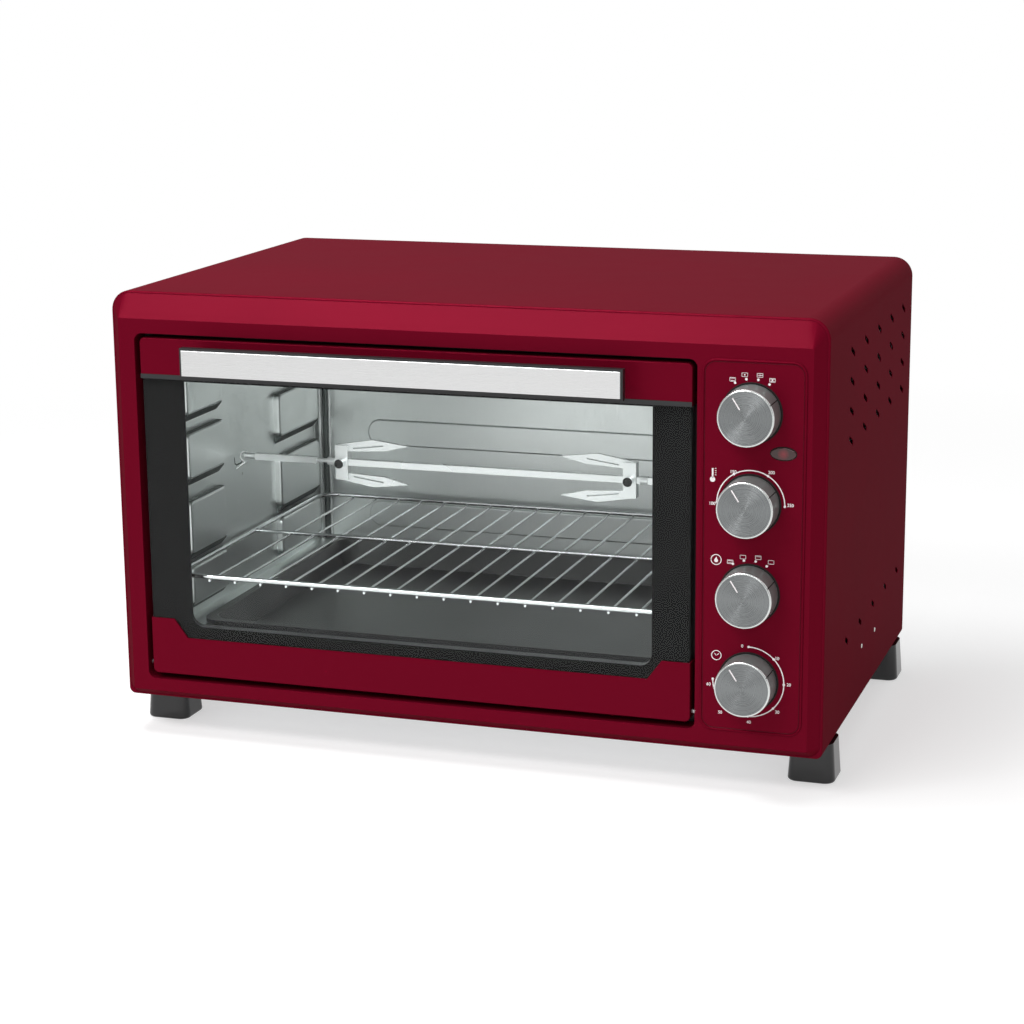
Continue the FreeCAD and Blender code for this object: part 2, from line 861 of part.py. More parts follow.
def face_wire(y, margin):
    """The outline of the bezel's flat face."""
    half = half_w - s.face_side - margin
    upper = top - s.face_top - margin
    radius = s.crease_r
    corner = [lambda side: straight(half_w - s.corner_r, upper, half - radius, upper, y, side),
              lambda side: bend(half - radius, upper - radius, y, radius, QUARTER, 0, side)]
    return slope_wire(y, half, base + s.face_bottom + margin, radius,
                      (half_w - s.corner_r, upper), upper - radius, corner)


def seam_wire(y, margin):
    """The outline of the bezel where it meets the casing."""
    edge = s.lip_w + margin
    half = half_w - edge
    upper = top - edge
    radius = s.corner_r - edge
    mitre = math.acos(float(s.corner_r - s.face_side - margin) / float(radius))
    corner = [lambda side: bend(half - radius, upper - radius, y, radius, QUARTER, mitre, side),
              lambda side: bend(half - radius, upper - radius, y, radius, mitre, 0, side)]
    return slope_wire(y, half, base + edge, s.bezel_low_r - edge, (half - radius, upper),
                      upper - radius, corner)


def make_front_bezel():
    """The formed red front: a flat face, sloping sides and a flange inside the casing."""
    wall = s.bezel_sheet
    outer = loft(face_wire(front, ZERO), seam_wire(seam, ZERO))
    outer = outer.fuse(prism(seam_wire(seam, ZERO), 0, s.bezel_flange, 0))
    hollow = loft(face_wire(front + wall, wall / 2), seam_wire(seam, wall))
    hollow = hollow.fuse(prism(seam_wire(seam, wall), 0, s.bezel_flange + s.overrun, 0))
    shell = outer.cut(hollow)
    sleeve_outline = flat_outline(opening_l - wall, opening_r + wall, opening_low - wall,
                                  opening_top + wall, front, s.opening_corner_r + wall)
    shell = shell.fuse(prism(sleeve_outline, 0, s.return_depth, 0))
    door_hole = flat_outline(opening_l, opening_r, opening_low, opening_top,
                             front - s.overrun, s.opening_corner_r)
    gap = s.panel_gap
    panel_hole = flat_outline(panel_l - gap, panel_r + gap, panel_low - gap, panel_top + gap,
                              front - s.overrun, s.panel_corner_r + gap)
    shell = shell.cut(prism(door_hole, 0, s.return_depth + 2 * s.overrun, 0))
    shell = shell.cut(prism(panel_hole, 0, s.overrun + 2 * wall, 0))
    for x in (opening_l - wall - s.overrun, opening_r - s.overrun):
        hole = Part.makeCylinder(float(s.pin_r + s.pin_hole_gap), float(wall + 2 * s.overrun),
                                 vector(x, deep(s.hinge_y), high(s.hinge_z)), vector(1, 0, 0))
        shell = shell.cut(hole)
    keep("front_bezel", feature("front_bezel", shell.removeSplitter()))


knob_x = panel_l + s.knob_inset
knob_pitch = (panel_top - s.knob_top_gap - high(s.knob_first_z)) / KNOB_STEPS
knob_heights = [high(s.knob_first_z) + knob_pitch * index for index in range(KNOB_STEPS + 1)]
lamp_x = panel_r - s.lamp_side_gap
lamp_z = knob_heights[-1] - s.lamp_drop
shaft_hole_r = s.shaft_r + s.shaft_hole_gap
bracket_l = opening_r + s.bezel_sheet + s.fit
bracket_r = half_w - s.face_side - s.bezel_sheet


def make_control_panel():
    """The separate plate behind the knobs, with holes for the shafts and the lamp."""
    body = new_body("control_panel")
    pad(body, "XZ", front - s.panel_proud, front + s.bezel_sheet,
        rectangle(panel_l, panel_r, panel_low, panel_top))
    round_edges(body, s.panel_corner_r, lambda e: runs_along(e, "y"))
    round_edges(body, s.panel_edge_r, lambda e: lies_at(e, "y", front - s.panel_proud))
    pocket(body, "XZ", front - s.panel_proud - s.overrun, front + s.bezel_sheet + s.overrun,
           *[Disc(knob_x, z, shaft_hole_r) for z in knob_heights])
    lens_w = s.lamp_w / 2 + s.lamp_hole_gap
    lens_h = s.lamp_h / 2 + s.lamp_hole_gap
    hole = oval(lens_w, lens_h, front - s.panel_proud - s.overrun,
                s.bezel_sheet + s.panel_proud + 2 * s.overrun)
    keep("control_panel", cut("control_panel_plate", body, feature("lamp_hole", hole)))


def oval(half_width, half_height, y, length):
    """An elliptic bar along Y at the lamp's place."""
    centre = vector(lamp_x, y, lamp_z)
    major = centre + vector(half_width, 0, 0)
    minor = centre + vector(0, 0, half_height)
    wire = Part.Wire(Part.Ellipse(major, minor, centre).toShape())
    return prism(wire, 0, length, 0)


def make_panel_bracket():
    """The steel plate behind the control panel that carries the switches."""
    body = new_body("panel_bracket")
    margin = s.bracket_margin
    pad(body, "XZ", front + s.bezel_sheet, front + s.bezel_sheet + s.bracket_sheet,
        rectangle(bracket_l, bracket_r, panel_low - margin, panel_top + margin))
    pocket(body, "XZ", front, front + s.bezel_sheet + s.bracket_sheet + s.overrun,
           *[Disc(knob_x, z, shaft_hole_r) for z in knob_heights],
           Disc(lamp_x, lamp_z, s.lamp_body_r + s.running_gap))
    keep("panel_bracket", body)


def make_indicator():
    """The oval lens in the panel and the small lamp behind it."""
    lens_front = front - s.panel_proud - s.lamp_proud
    lens_back = front + s.bezel_sheet
    lens = oval(s.lamp_w / 2, s.lamp_h / 2, lens_front, lens_back - lens_front)
    front_edge = [e for e in lens.Edges if lies_at(e, "y", lens_front)]
    lens = lens.makeFillet(float(s.lamp_proud) * LENS_EDGE_SHARE, front_edge)
    keep("indicator_lens", feature("indicator_lens", lens))
    lamp = rod("indicator_lamp", "Y", lamp_x, lens_back, lamp_z, s.lamp_body_r,
               s.lamp_body_d)
    keep("indicator_lamp", lamp)


# Knobs with their shafts, and the switches that they turn

switch_front = front + s.bezel_sheet + s.bracket_sheet


def make_knob(name, z):
    """A spun metal knob on the end of its shaft, with a pointer line cut into its face."""
    body = new_body(f"{name}_knob")
    back = front - s.panel_proud - s.knob_gap
    face = front - s.knob_reach
    bore = s.shaft_r + s.running_gap
    bore_end = back - s.knob_bore_depth
    revolve(body, "YZ", knob_x, z,
            [(back, bore), (back, s.knob_base_r), (face + s.knob_bevel, s.knob_r),
             (face, s.knob_r - s.knob_bevel), (face, ZERO), (bore_end, ZERO), (bore_end, bore)])
    across = (math.cos(KNOB_MARK_ANGLE), -math.sin(KNOB_MARK_ANGLE))
    along = (math.sin(KNOB_MARK_ANGLE), math.cos(KNOB_MARK_ANGLE))
    corners = [(-1, s.knob_mark_r1), (1, s.knob_mark_r1), (1, s.knob_mark_r2), (-1, s.knob_mark_r2)]
    mark = [(knob_x + s.knob_mark_w / 2 * (side * across[0]) + reach * along[0],
             z + s.knob_mark_w / 2 * (side * across[1]) + reach * along[1])
            for side, reach in corners]
    pocket(body, "XZ", face - s.overrun, face + s.knob_mark_depth, mark)
    across = (math.cos(KNOB_SEAM_ANGLE), -math.sin(KNOB_SEAM_ANGLE))
    along = (math.sin(KNOB_SEAM_ANGLE), math.cos(KNOB_SEAM_ANGLE))
    inner = s.knob_r - s.knob_seam_depth
    corners = [(-1, inner), (1, inner), (1, s.knob_r + s.overrun), (-1, s.knob_r + s.overrun)]
    groove = [(knob_x + s.knob_seam_w / 2 * (side * across[0]) + reach * along[0],
               z + s.knob_seam_w / 2 * (side * across[1]) + reach * along[1])
              for side, reach in corners]
    pocket(body, "XZ", face + s.knob_bevel, back + s.overrun, groove)
    keep(f"{name}_knob", body)
    shaft_start = bore_end + s.fit
    shaft = rod(f"{name}_shaft", "Y", knob_x, shaft_start, z, s.shaft_r,
                switch_front + s.shaft_in_switch - shaft_start)
    keep(f"{name}_shaft", shaft)


def make_switch(name, z, width, height, depth):
    """The housing of a switch behind the bracket, bored for its shaft."""
    housing = box(f"{name}_housing", knob_x - width / 2, knob_x + width / 2,
                  switch_front, switch_front + depth, z - height / 2, z + height / 2)
    bore = rod(f"{name}_bore", "Y", knob_x, switch_front, z, s.shaft_r + s.running_gap,
               s.shaft_in_switch + s.fit)
    keep(name, cut(name, housing, bore))


# Oven cavity

cavity_l = opening_l + s.cavity_side_gap
cavity_r = opening_r - s.cavity_side_gap
cavity_low = high(s.cavity_low_z)
cavity_top = top - s.cavity_top_gap
cavity_back = rear - s.cavity_rear_gap
mouth = return_end + s.sheet
ledge_top = high(s.tray_rim_z) - s.tray_hem - s.seat_gap
rack_seat = high(s.rack_z) - s.rail_r - s.seat_gap
element_depths = (deep(s.element_front_y), cavity_back - s.element_rear_gap)
element_low = high(s.element_low_z)
element_high = cavity_top - s.element_top_gap
element_hole_r = s.element_r + s.element_hole_gap


def make_mouth_frame():
    """The flat frame between the bezel's return and the cavity sheets."""
    body = new_body("mouth_frame")
    margin = s.frame_margin
    pad(body, "XZ", return_end, mouth,
        rectangle(opening_l - margin, opening_r + margin, opening_low - s.frame_low_margin,
                  opening_top + margin),
        rectangle(cavity_l, cavity_r, cavity_low, cavity_top))
    keep("mouth_frame", body)


def pad_levels():
    """Lower and upper height of each pressed block on a side wall."""
    room = cavity_top - rack_seat
    return [(high(s.pad_low_z), rack_seat)] + [
        (rack_seat + room * low, rack_seat + room * upper) for low, upper in PAD_LEVEL_SHARES]


def make_side_wall(name, wall, inward):
    """A side sheet of the cavity, with pressed blocks for the rack and a ledge for the tray."""
    body = new_body(name)
    sheet_low, sheet_high = (wall - s.sheet, wall) if inward > 0 else (wall, wall + s.sheet)
    pad(body, "YZ", sheet_low, sheet_high, rectangle(mouth, cavity_back, cavity_low, cavity_top))
    pads_end = cavity_back - s.pad_rear_gap
    groups = ((deep(s.pad_front_y1), deep(s.pad_front_y2)), (pads_end - s.pad_rear_l, pads_end))
    blocks = [rectangle(y0, y1, z0, z1) for y0, y1 in groups for z0, z1 in pad_levels()]
    crown = wall + inward * s.emboss
    low, upper = (wall, crown) if inward > 0 else (crown, wall)
    pad(body, "YZ", low, upper, *blocks)
    round_edges(body, s.emboss_corner_r, lambda e: runs_along(e, "x") and ends_at(e, "x", crown))
    round_edges(body, s.emboss_r, lambda e: lies_at(e, "x", crown))
    skin = s.emboss_r + s.sheet
    backs = [rectangle(y0 + skin, y1 - skin, z0 + skin, z1 - skin)
             for y0, y1 in groups for z0, z1 in pad_levels()]
    under_crown = crown - inward * s.sheet
    behind = wall - inward * (s.sheet + s.overrun)
    low, upper = (behind, under_crown) if inward > 0 else (under_crown, behind)
    pocket_through(body, "YZ", low, upper, inward, backs)
    edge = wall + inward * s.ledge_w
    skirt = edge - inward * s.sheet
    pad(body, "XZ", mouth + s.ledge_front_gap, cavity_back - s.ledge_rear_gap,
        [(wall, ledge_top - s.sheet), (wall, ledge_top), (edge, ledge_top), (edge, cavity_low),
         (skirt, cavity_low), (skirt, ledge_top - s.sheet)])
    return body


def pocket_through(body, plane, low, upper, inward, loops):
    """A pocket across X that starts behind the sheet and stops under its crown."""
    before = body.Shape.Volume
    sketch = sketch_on(body, plane, low if inward > 0 else upper)
    draw(sketch, loops)
    feature = body.newObject("PartDesign::Pocket", f"{body.Name}_back")
    feature.Profile = (sketch, [""])
    feature.Reversed = inward > 0
    feature.setExpression("Length", (upper - low).formula)
    doc.recompute()
    if body.Shape.Volume >= before:
        raise RuntimeError(f"a pocket of {body.Name} cuts nothing")


def make_cavity():
    left = make_side_wall("liner_left", cavity_l, 1)
    keep("liner_left", left)
    right = make_side_wall("liner_right", cavity_r, -1)
    spit_hole = Disc(deep(s.spit_y), high(s.spit_z), s.socket_r + s.socket_wall_gap)
    element_holes = [Disc(y, z, element_hole_r) for y in element_depths
                     for z in (element_low, element_high)]
    pocket(right, "YZ", cavity_r - s.ledge_w - s.overrun, cavity_r + s.sheet + s.overrun,
           spit_hole, *element_holes)
    keep("liner_right", right)
    back = new_body("liner_back")
    pad(back, "XZ", cavity_back, cavity_back + s.sheet,
        rectangle(cavity_l - s.sheet, cavity_r + s.sheet, cavity_low - s.sheet, cavity_top + s.sheet))
    crown = cavity_back - s.bead_d
    left = cavity_l + s.bead_side_gap
    right = cavity_r - s.bead_side_gap
    levels = (high(s.bead_low_z), high(s.bead_low_z) + s.bead_pitch)
    beads = [rectangle(left, right, z, z + s.bead_h) for z in levels]
    pad(back, "XZ", crown, cavity_back, *beads)
    round_edges(back, s.bead_h * BEAD_END_SHARE,
                lambda e: runs_along(e, "y") and e.BoundBox.YMin < float(cavity_back - s.sheet / 2))
    round_edges(back, s.bead_d * BEAD_EDGE_SHARE, lambda e: lies_at(e, "y", crown))
    skin = s.bead_h * BEAD_HOLLOW_SHARE
    hollows = [rectangle(left + skin, right - skin, z + skin, z + s.bead_h - skin) for z in levels]
    pocket(back, "XZ", crown + s.sheet, cavity_back + s.sheet + s.overrun, *hollows)
    keep("liner_back", back)
    for name, low in (("liner_top", cavity_top), ("liner_floor", cavity_low - s.sheet)):
        plate = box(name, cavity_l - s.sheet, cavity_r + s.sheet, mouth, cavity_back,
                    low, low + s.sheet)
        keep(name, plate)


# Heating elements


def make_element(name, z):
    """A bent heating rod that enters and leaves through the right wall."""
    left = cavity_l + s.element_side_gap
    tail = cavity_r + s.element_tail
    y1, y2 = element_depths
    points = [vector(tail, y1, z), vector(left, y1, z), vector(left, y2, z), vector(tail, y2, z)]
    keep(name, feature(name, bent_rod(points, s.element_bend_r, s.element_r)))


def make_element_fittings():
    """Ceramic bushes outside the right wall and sheet clips inside the cavity."""
    bushes = []
    bores = []
    for index, (y, z) in enumerate([(y, z) for y in element_depths
                                    for z in (element_low, element_high)]):
        start = cavity_r + s.sheet
        bushes.append(rod(f"bush_{index}", "X", start, y, z, s.bush_r, s.bush_l))
        bores.append(rod(f"bush_bore_{index}", "X", start - s.overrun, y, z,
                         s.element_r + s.clip_gap, s.bush_l + 2 * s.overrun))
    keep("element_bushes", cut("element_bushes", fuse("bush_bodies", *bushes), *bores))
    plates = []
    holes = []
    reach = s.element_r + s.clip_rim
    x = cavity_l + s.clip_inset
    for index, y in enumerate(element_depths):
        plates.append(box(f"low_clip_{index}", x, x + s.clip_sheet, y - s.clip_w / 2,
                          y + s.clip_w / 2, cavity_low, element_low + reach))
        plates.append(box(f"high_clip_{index}", x, x + s.clip_sheet, y - s.clip_w / 2,
                          y + s.clip_w / 2, element_high - reach, cavity_top))
        for level in (element_low, element_high):
            holes.append(rod("clip_hole", "X", x - s.overrun, y, level,
                             s.element_r + s.clip_gap, s.clip_sheet + 2 * s.overrun))
    keep("element_clips", cut("element_clips", fuse("clip_plates", *plates), *holes))


# Rack and tray


def make_wire_rack():
    """One welded piece: a closed rail with a bar across its middle and wires under both."""
    x0 = cavity_l + s.rack_side_gap + s.rail_r
    x1 = cavity_r - s.rack_side_gap - s.rail_r
    y0 = deep(s.rack_front_y) + s.rail_r
    y1 = cavity_back - s.rack_rear_gap - s.rail_r
    z = high(s.rack_z)
    middle = y0 + (y1 - y0) * RACK_MIDDLE_SHARE
    front_half = [vector(x0, middle, z), vector(x0, y0, z), vector(x1, y0, z), vector(x1, middle, z)]
    rear_half = [vector(x1, middle, z), vector(x1, y1, z), vector(x0, y1, z), vector(x0, middle, z)]
    rail = bent_rod(front_half, s.rack_corner_r, s.rail_r)
    pieces = [bent_rod(rear_half, s.rack_corner_r, s.rail_r)]
    pieces.append(Part.makeCylinder(float(s.middle_r), float(x1 - x0), vector(x0, middle, z),
                                    vector(1, 0, 0)))
    wire_z = z - s.rail_r - s.cross_r + s.weld
    wire_start = deep(s.rack_front_y)
    first = cavity_l + s.rack_side_gap + s.cross_side_gap
    pitch = (opening_x - first) / CROSS_WIRES_EACH_SIDE
    for index in range(2 * CROSS_WIRES_EACH_SIDE + 1):
        start = vector(first + pitch * index, wire_start, wire_z)
        pieces.append(Part.makeCylinder(float(s.cross_r), float(y1 - wire_start), start,
                                        vector(0, 1, 0)))
    keep("wire_rack", feature("wire_rack", rail.fuse(pieces)))


def make_bake_tray():
    """A dark pressed tray whose hemmed rim rests on the side ledges."""
    x0 = cavity_l + s.tray_side_gap
    x1 = cavity_r - s.tray_side_gap
    y0 = deep(s.tray_front_y)
    y1 = cavity_back - s.tray_rear_gap
    rim = high(s.tray_rim_z)
    wall = s.tray_sheet

    def outline(inset, z, radius):
        return level_outline(x0 + inset, x1 - inset, y0 + inset, y1 - inset, z, radius)

    radius = s.tray_corner_r
    flange = prism(outline(ZERO, rim - wall, radius), 0, 0, wall)
    hem = prism(outline(ZERO, rim - s.tray_hem, radius), 0, 0, s.tray_hem)
    turn = wall * HEM_SHARE
    hem = hem.cut(prism(outline(turn, rim - s.tray_hem - s.overrun, radius - turn),
                        0, 0, s.tray_hem + s.overrun - wall))
    well = s.tray_rim_w
    foot = s.tray_rim_w + s.tray_draft
    outer = loft(outline(well, rim - wall, radius), outline(foot, rim - s.tray_depth, radius))
    solid = flange.fuse([hem, outer])
    inner = loft(outline(well + wall, rim + s.overrun, radius - wall),
                 outline(well + wall, rim - wall, radius - wall),
                 outline(foot + wall, rim - s.tray_depth + wall, radius - wall))
    keep("bake_tray", feature("bake_tray", solid.cut(inner).removeSplitter()))


# Rotisserie

spit_y = deep(s.spit_y)
spit_z = high(s.spit_z)
spit_end = cavity_r - s.socket_l + s.socket_depth
fork_left_x = cavity_l + s.fork_left_inset
fork_right_x = cavity_r - s.fork_right_inset


def square_bar(name, x0, x1, side):
    half = side / 2
    return box(name, x0, x1, spit_y - half, spit_y + half, spit_z - half, spit_z + half)


def make_spit():
    """The square bar with its round end, neck and collars."""
    pin_start = cavity_l + s.pin_start_inset
    pin_end = cavity_l + s.pin_end_inset
    neck_start = cavity_l + s.neck_start_inset
    neck_end = cavity_l + s.neck_end_inset
    pieces = [
        rod("spit_pin", "X", pin_start, spit_y, spit_z, s.spit_pin_r, pin_end - pin_start),
        square_bar("spit_left_bar", pin_end, neck_start, s.spit_side),
        rod("spit_neck", "X", neck_start, spit_y, spit_z, s.neck_r, neck_end - neck_start),
        square_bar("spit_main_bar", neck_end, spit_end, s.spit_side),
        rod("spit_left_collar", "X", neck_end, spit_y, spit_z, s.collar_r, s.collar_l),
        rod("spit_right_collar", "X", fork_right_x + s.fork_gap, spit_y, spit_z, s.collar_r,
            s.collar_l),
    ]
    keep("spit_rod", fuse("spit_rod", *pieces))


def make_fork(name, x, side):
    """A two-tined fork that slides on the bar and points to the middle of the oven."""
    hub = s.hub_l / 2
    root = s.hub_half_h - s.tine_root_w
    half_slit = s.slit_w / 2
    slit_root = s.hub_half_h - s.tine_root_w / 2
    slit_mid = (s.tine_bow + s.tine_belly) / 2

    def outline(level, *points):
        return [(x + along * side, spit_z + level * up) for along, up in points]

    def tine(level):
        return outline(level, (-hub, s.hub_half_h), (-hub, root), (hub, root),
                       (s.tine_belly_at, s.tine_belly), (s.tine_l, s.tine_tip),
                       (s.tine_bow_at, s.tine_bow))

    def slit(level):
        return outline(level, (s.slit_start, slit_root + half_slit), (s.slit_start, slit_root - half_slit),
                       (s.slit_end, slit_mid - half_slit), (s.slit_end, slit_mid + half_slit))

    y0 = spit_y - s.fork_t / 2
    y1 = spit_y + s.fork_t / 2
    hub_y = s.spit_side / 2 + s.hub_wall
    body = new_body(name)
    pad(body, "XZ", spit_y - hub_y, spit_y + hub_y,
        rectangle(x - hub, x + hub, spit_z - s.hub_half_h, spit_z + s.hub_half_h))
    pad(body, "XZ", y0, y1, tine(1))
    pad(body, "XZ", y0, y1, tine(-1))
    pocket(body, "XZ", y0 - s.overrun, y1 + s.overrun, slit(1), slit(-1))
    hole = s.spit_side / 2 + s.running_gap
    pocket(body, "YZ", x - hub - s.overrun, x + hub + s.overrun,
           rectangle(spit_y - hole, spit_y + hole, spit_z - hole, spit_z + hole))
    pocket(body, "XZ", spit_y - hub_y - s.overrun, spit_y - s.spit_side / 2,
           Disc(x, spit_z, s.thumb_shank_r + s.running_gap))
    keep(name, body)


def make_fork_screws():
    """The thumb screw of each fork, which presses on the bar."""
    pieces = []
    for name, x in (("left", fork_left_x), ("right", fork_right_x)):
        hub_face = spit_y - s.spit_side / 2 - s.hub_wall
        tip = spit_y - s.spit_side / 2 - s.running_gap
        pieces.append(rod(f"{name}_thumb_shank", "Y", x, hub_face, spit_z, s.thumb_shank_r,
                          tip - hub_face))
        pieces.append(rod(f"{name}_thumb_head", "Y", x, hub_face - s.thumb_l, spit_z, s.thumb_r,
                          s.thumb_l))
    keep("fork_screws", fuse("fork_screws", *pieces))


def make_drive():
    """The square socket that turns the bar, and the geared motor outside the wall."""
    start = cavity_r - s.socket_l
    side = s.spit_side + 2 * s.socket_gap
    barrel = rod("socket_barrel", "X", start, spit_y, spit_z, s.socket_r,
                 s.socket_l + s.sheet / 2)
    shaft = rod("socket_shaft", "X", start + s.socket_l, spit_y, spit_z, s.shaft_r,
                s.sheet + s.drive_shaft_l)
    hole = square_bar("socket_hole", start - s.overrun, start + s.socket_depth + s.fit, side)
    keep("drive_socket", cut("drive_socket", fuse("socket_solid", barrel, shaft), hole))
    wall = cavity_r + s.sheet
    housing = box("motor_housing", wall, wall + s.motor_l, spit_y - s.motor_w / 2,
                  spit_y + s.motor_w / 2, spit_z - s.motor_h / 2, spit_z + s.motor_h / 2)
    bore = rod("motor_bore", "X", wall, spit_y, spit_z, s.shaft_r + s.running_gap,
               s.drive_shaft_l + s.fit)
    keep("rotisserie_motor", cut("rotisserie_motor", housing, bore))


def make_spit_bracket():
    """The stamped hook on the left wall in which the bar's round end turns."""
    low = spit_z - s.bracket_drop
    rise = spit_z + s.bracket_rise
    arm = cavity_l + s.bracket_arm_l
    plate = box("bracket_plate", cavity_l, cavity_l + s.bracket_t, spit_y - s.bracket_plate_w / 2,
                spit_y + s.bracket_plate_w / 2, low, rise)
    shelf = box("bracket_shelf", cavity_l, arm, spit_y - s.bracket_arm_w / 2,
                spit_y + s.bracket_arm_w / 2, low, low + s.bracket_t)
    hook = box("bracket_hook", arm - s.bracket_t, arm, spit_y - s.bracket_arm_w / 2,
               spit_y + s.bracket_arm_w / 2, low, rise)
    reach = s.spit_pin_r + s.running_gap
    seat = rod("bracket_seat", "X", arm - s.bracket_t - s.overrun, spit_y, spit_z, reach,
               s.bracket_t + 2 * s.overrun)
    mouth_cut = box("bracket_mouth", arm - s.bracket_t - s.overrun, arm + s.overrun, spit_y - reach,
                    spit_y + reach, spit_z, rise + s.overrun)
    bracket = fuse("bracket_solid", plate, shelf, hook)
    keep("spit_bracket", cut("spit_bracket", bracket, seat, mouth_cut))


# Door

door_l = opening_l + s.gap_side
door_r = opening_r - s.gap_side
door_low = opening_low + s.gap_bottom
door_top = opening_top - s.gap_top
door_front = deep(s.door_set)
door_back = deep(s.door_back_y)
glass_front = door_front + s.strip_sheet
glass_back = glass_front + s.glass_t
print_back = glass_back + s.print_t
window_l = door_l + s.window_side_gap
window_r = door_r - s.window_side_gap
window_low = door_low + s.window_low_gap
window_top = door_top - s.window_top_gap
handle_z = door_top - s.handle_drop
hinge_y = deep(s.hinge_y)
hinge_z = high(s.hinge_z)


def make_top_strip():
    """The red sheet across the head of the door, which the handle stands on."""
    body = new_body("door_top_strip")
    low = door_top - s.top_strip_h
    wall = s.strip_sheet
    pad(body, "XZ", door_front, door_back, rectangle(door_l, door_r, low, door_top))
    round_edges(body, s.door_corner_r,
                lambda e: runs_along(e, "y") and e.BoundBox.ZMin > float(door_top - wall))
    round_edges(body, s.strip_edge_r,
                lambda e: lies_at(e, "y", door_front) and e.CenterOfMass.z > float(low + wall))
    pocket(body, "XZ", door_front + wall, door_back + s.overrun,
           rectangle(door_l + wall, door_r - wall, low - s.overrun, door_top - s.door_corner_r))
    pocket(body, "XZ", door_front + wall, door_back + s.overrun,
           rectangle(door_l + s.door_corner_r, door_r - s.door_corner_r, low, door_top - wall))
    pocket(body, "XZ", door_front - s.overrun, door_front + wall + s.overrun,
           *[Disc(x, handle_z, s.handle_screw_r + s.screw_hole_gap) for x in post_places()])
    keep("door_top_strip", body)


def make_bottom_strip():
    """The red sheet along the foot of the door, whose ends rise in a slant."""
    body = new_body("door_bottom_strip")
    wall = s.strip_sheet
    level = door_low + s.bottom_strip_h
    raised = level + s.end_rise
    outline = [(door_l, door_low), (door_r, door_low), (door_r, raised),
               (door_r - s.end_right_w, raised), (door_r - s.end_right_w - s.end_slant, level),
               (door_l + s.end_left_w + s.end_slant, level), (door_l + s.end_left_w, raised),
               (door_l, raised)]
    pad(body, "XZ", door_front, door_back, outline)
    round_edges(body, s.door_corner_r,
                lambda e: runs_along(e, "y") and e.BoundBox.ZMax < float(door_low + wall))
    round_edges(body, s.strip_edge_r,
                lambda e: lies_at(e, "y", door_front) and e.BoundBox.ZMin < float(level - wall))
    pocket(body, "XZ", door_front + wall, door_back + s.overrun,
           rectangle(door_l + wall, door_r - wall, door_low + s.door_corner_r, raised + s.overrun))
    pocket(body, "XZ", door_front + wall, door_back + s.overrun,
           rectangle(door_l + s.door_corner_r, door_r - s.door_corner_r, door_low + wall, level))
    pocket(body, "YZ", door_l - s.overrun, door_r + s.overrun,
           Disc(hinge_y, hinge_z, s.pin_r + s.running_gap))
    keep("door_bottom_strip", body)


def is_window_corner(edge):
    """True for an upright edge at a corner of the window, seen from the front."""
    reach = float(window_r - opening_x + s.running_gap)
    return runs_along(edge, "y") and abs(edge.CenterOfMass.x - float(opening_x)) < reach


def make_glass():
    """The tempered pane, and the black border printed on its inner side."""
    side = s.strip_sheet + s.fit
    low = door_low + s.glass_low_gap
    upper = door_top - s.glass_top_gap
    pane = new_body("door_glass")
    pad(pane, "XZ", glass_front, glass_back, rectangle(door_l + side, door_r - side, low, upper))
    round_edges(pane, s.glass_edge_r, lambda e: lies_at(e, "y", glass_front))
    keep("door_glass", pane)
    border = new_body("door_glass_print")
    pad(border, "XZ", glass_back, print_back,
        rectangle(door_l + side, door_r - side, low, upper),
        rectangle(window_l + s.print_left_step, window_r, window_low,
                  window_top - s.print_top_step))
    round_edges(border, s.window_corner_r, is_window_corner)
    keep("door_glass_print", border)


def make_inner_frame():
    """The black pressed frame behind the glass, open towards it."""
    body = new_body("door_inner_frame")
    side = s.strip_sheet + s.inner_side_gap
    wall = s.inner_sheet
    left = door_l + side
    right = door_r - side
    low = door_low + s.inner_low_gap
    upper = door_top - s.door_corner_r - s.fit
    pad(body, "XZ", print_back, door_back, rectangle(left, right, low, upper),
        rectangle(window_l, window_r, window_low, window_top))
    round_edges(body, s.window_corner_r, is_window_corner)
    pocket(body, "XZ", print_back - s.overrun, door_back - wall,
           rectangle(left + wall, right - wall, low + wall, upper - wall),
           rectangle(window_l - wall, window_r + wall, window_low - wall, window_top + wall))
    keep("door_inner_frame", body)


def post_places():
    inset = s.handle_side_gap + s.post_inset
    return (door_l + inset, door_r - inset)


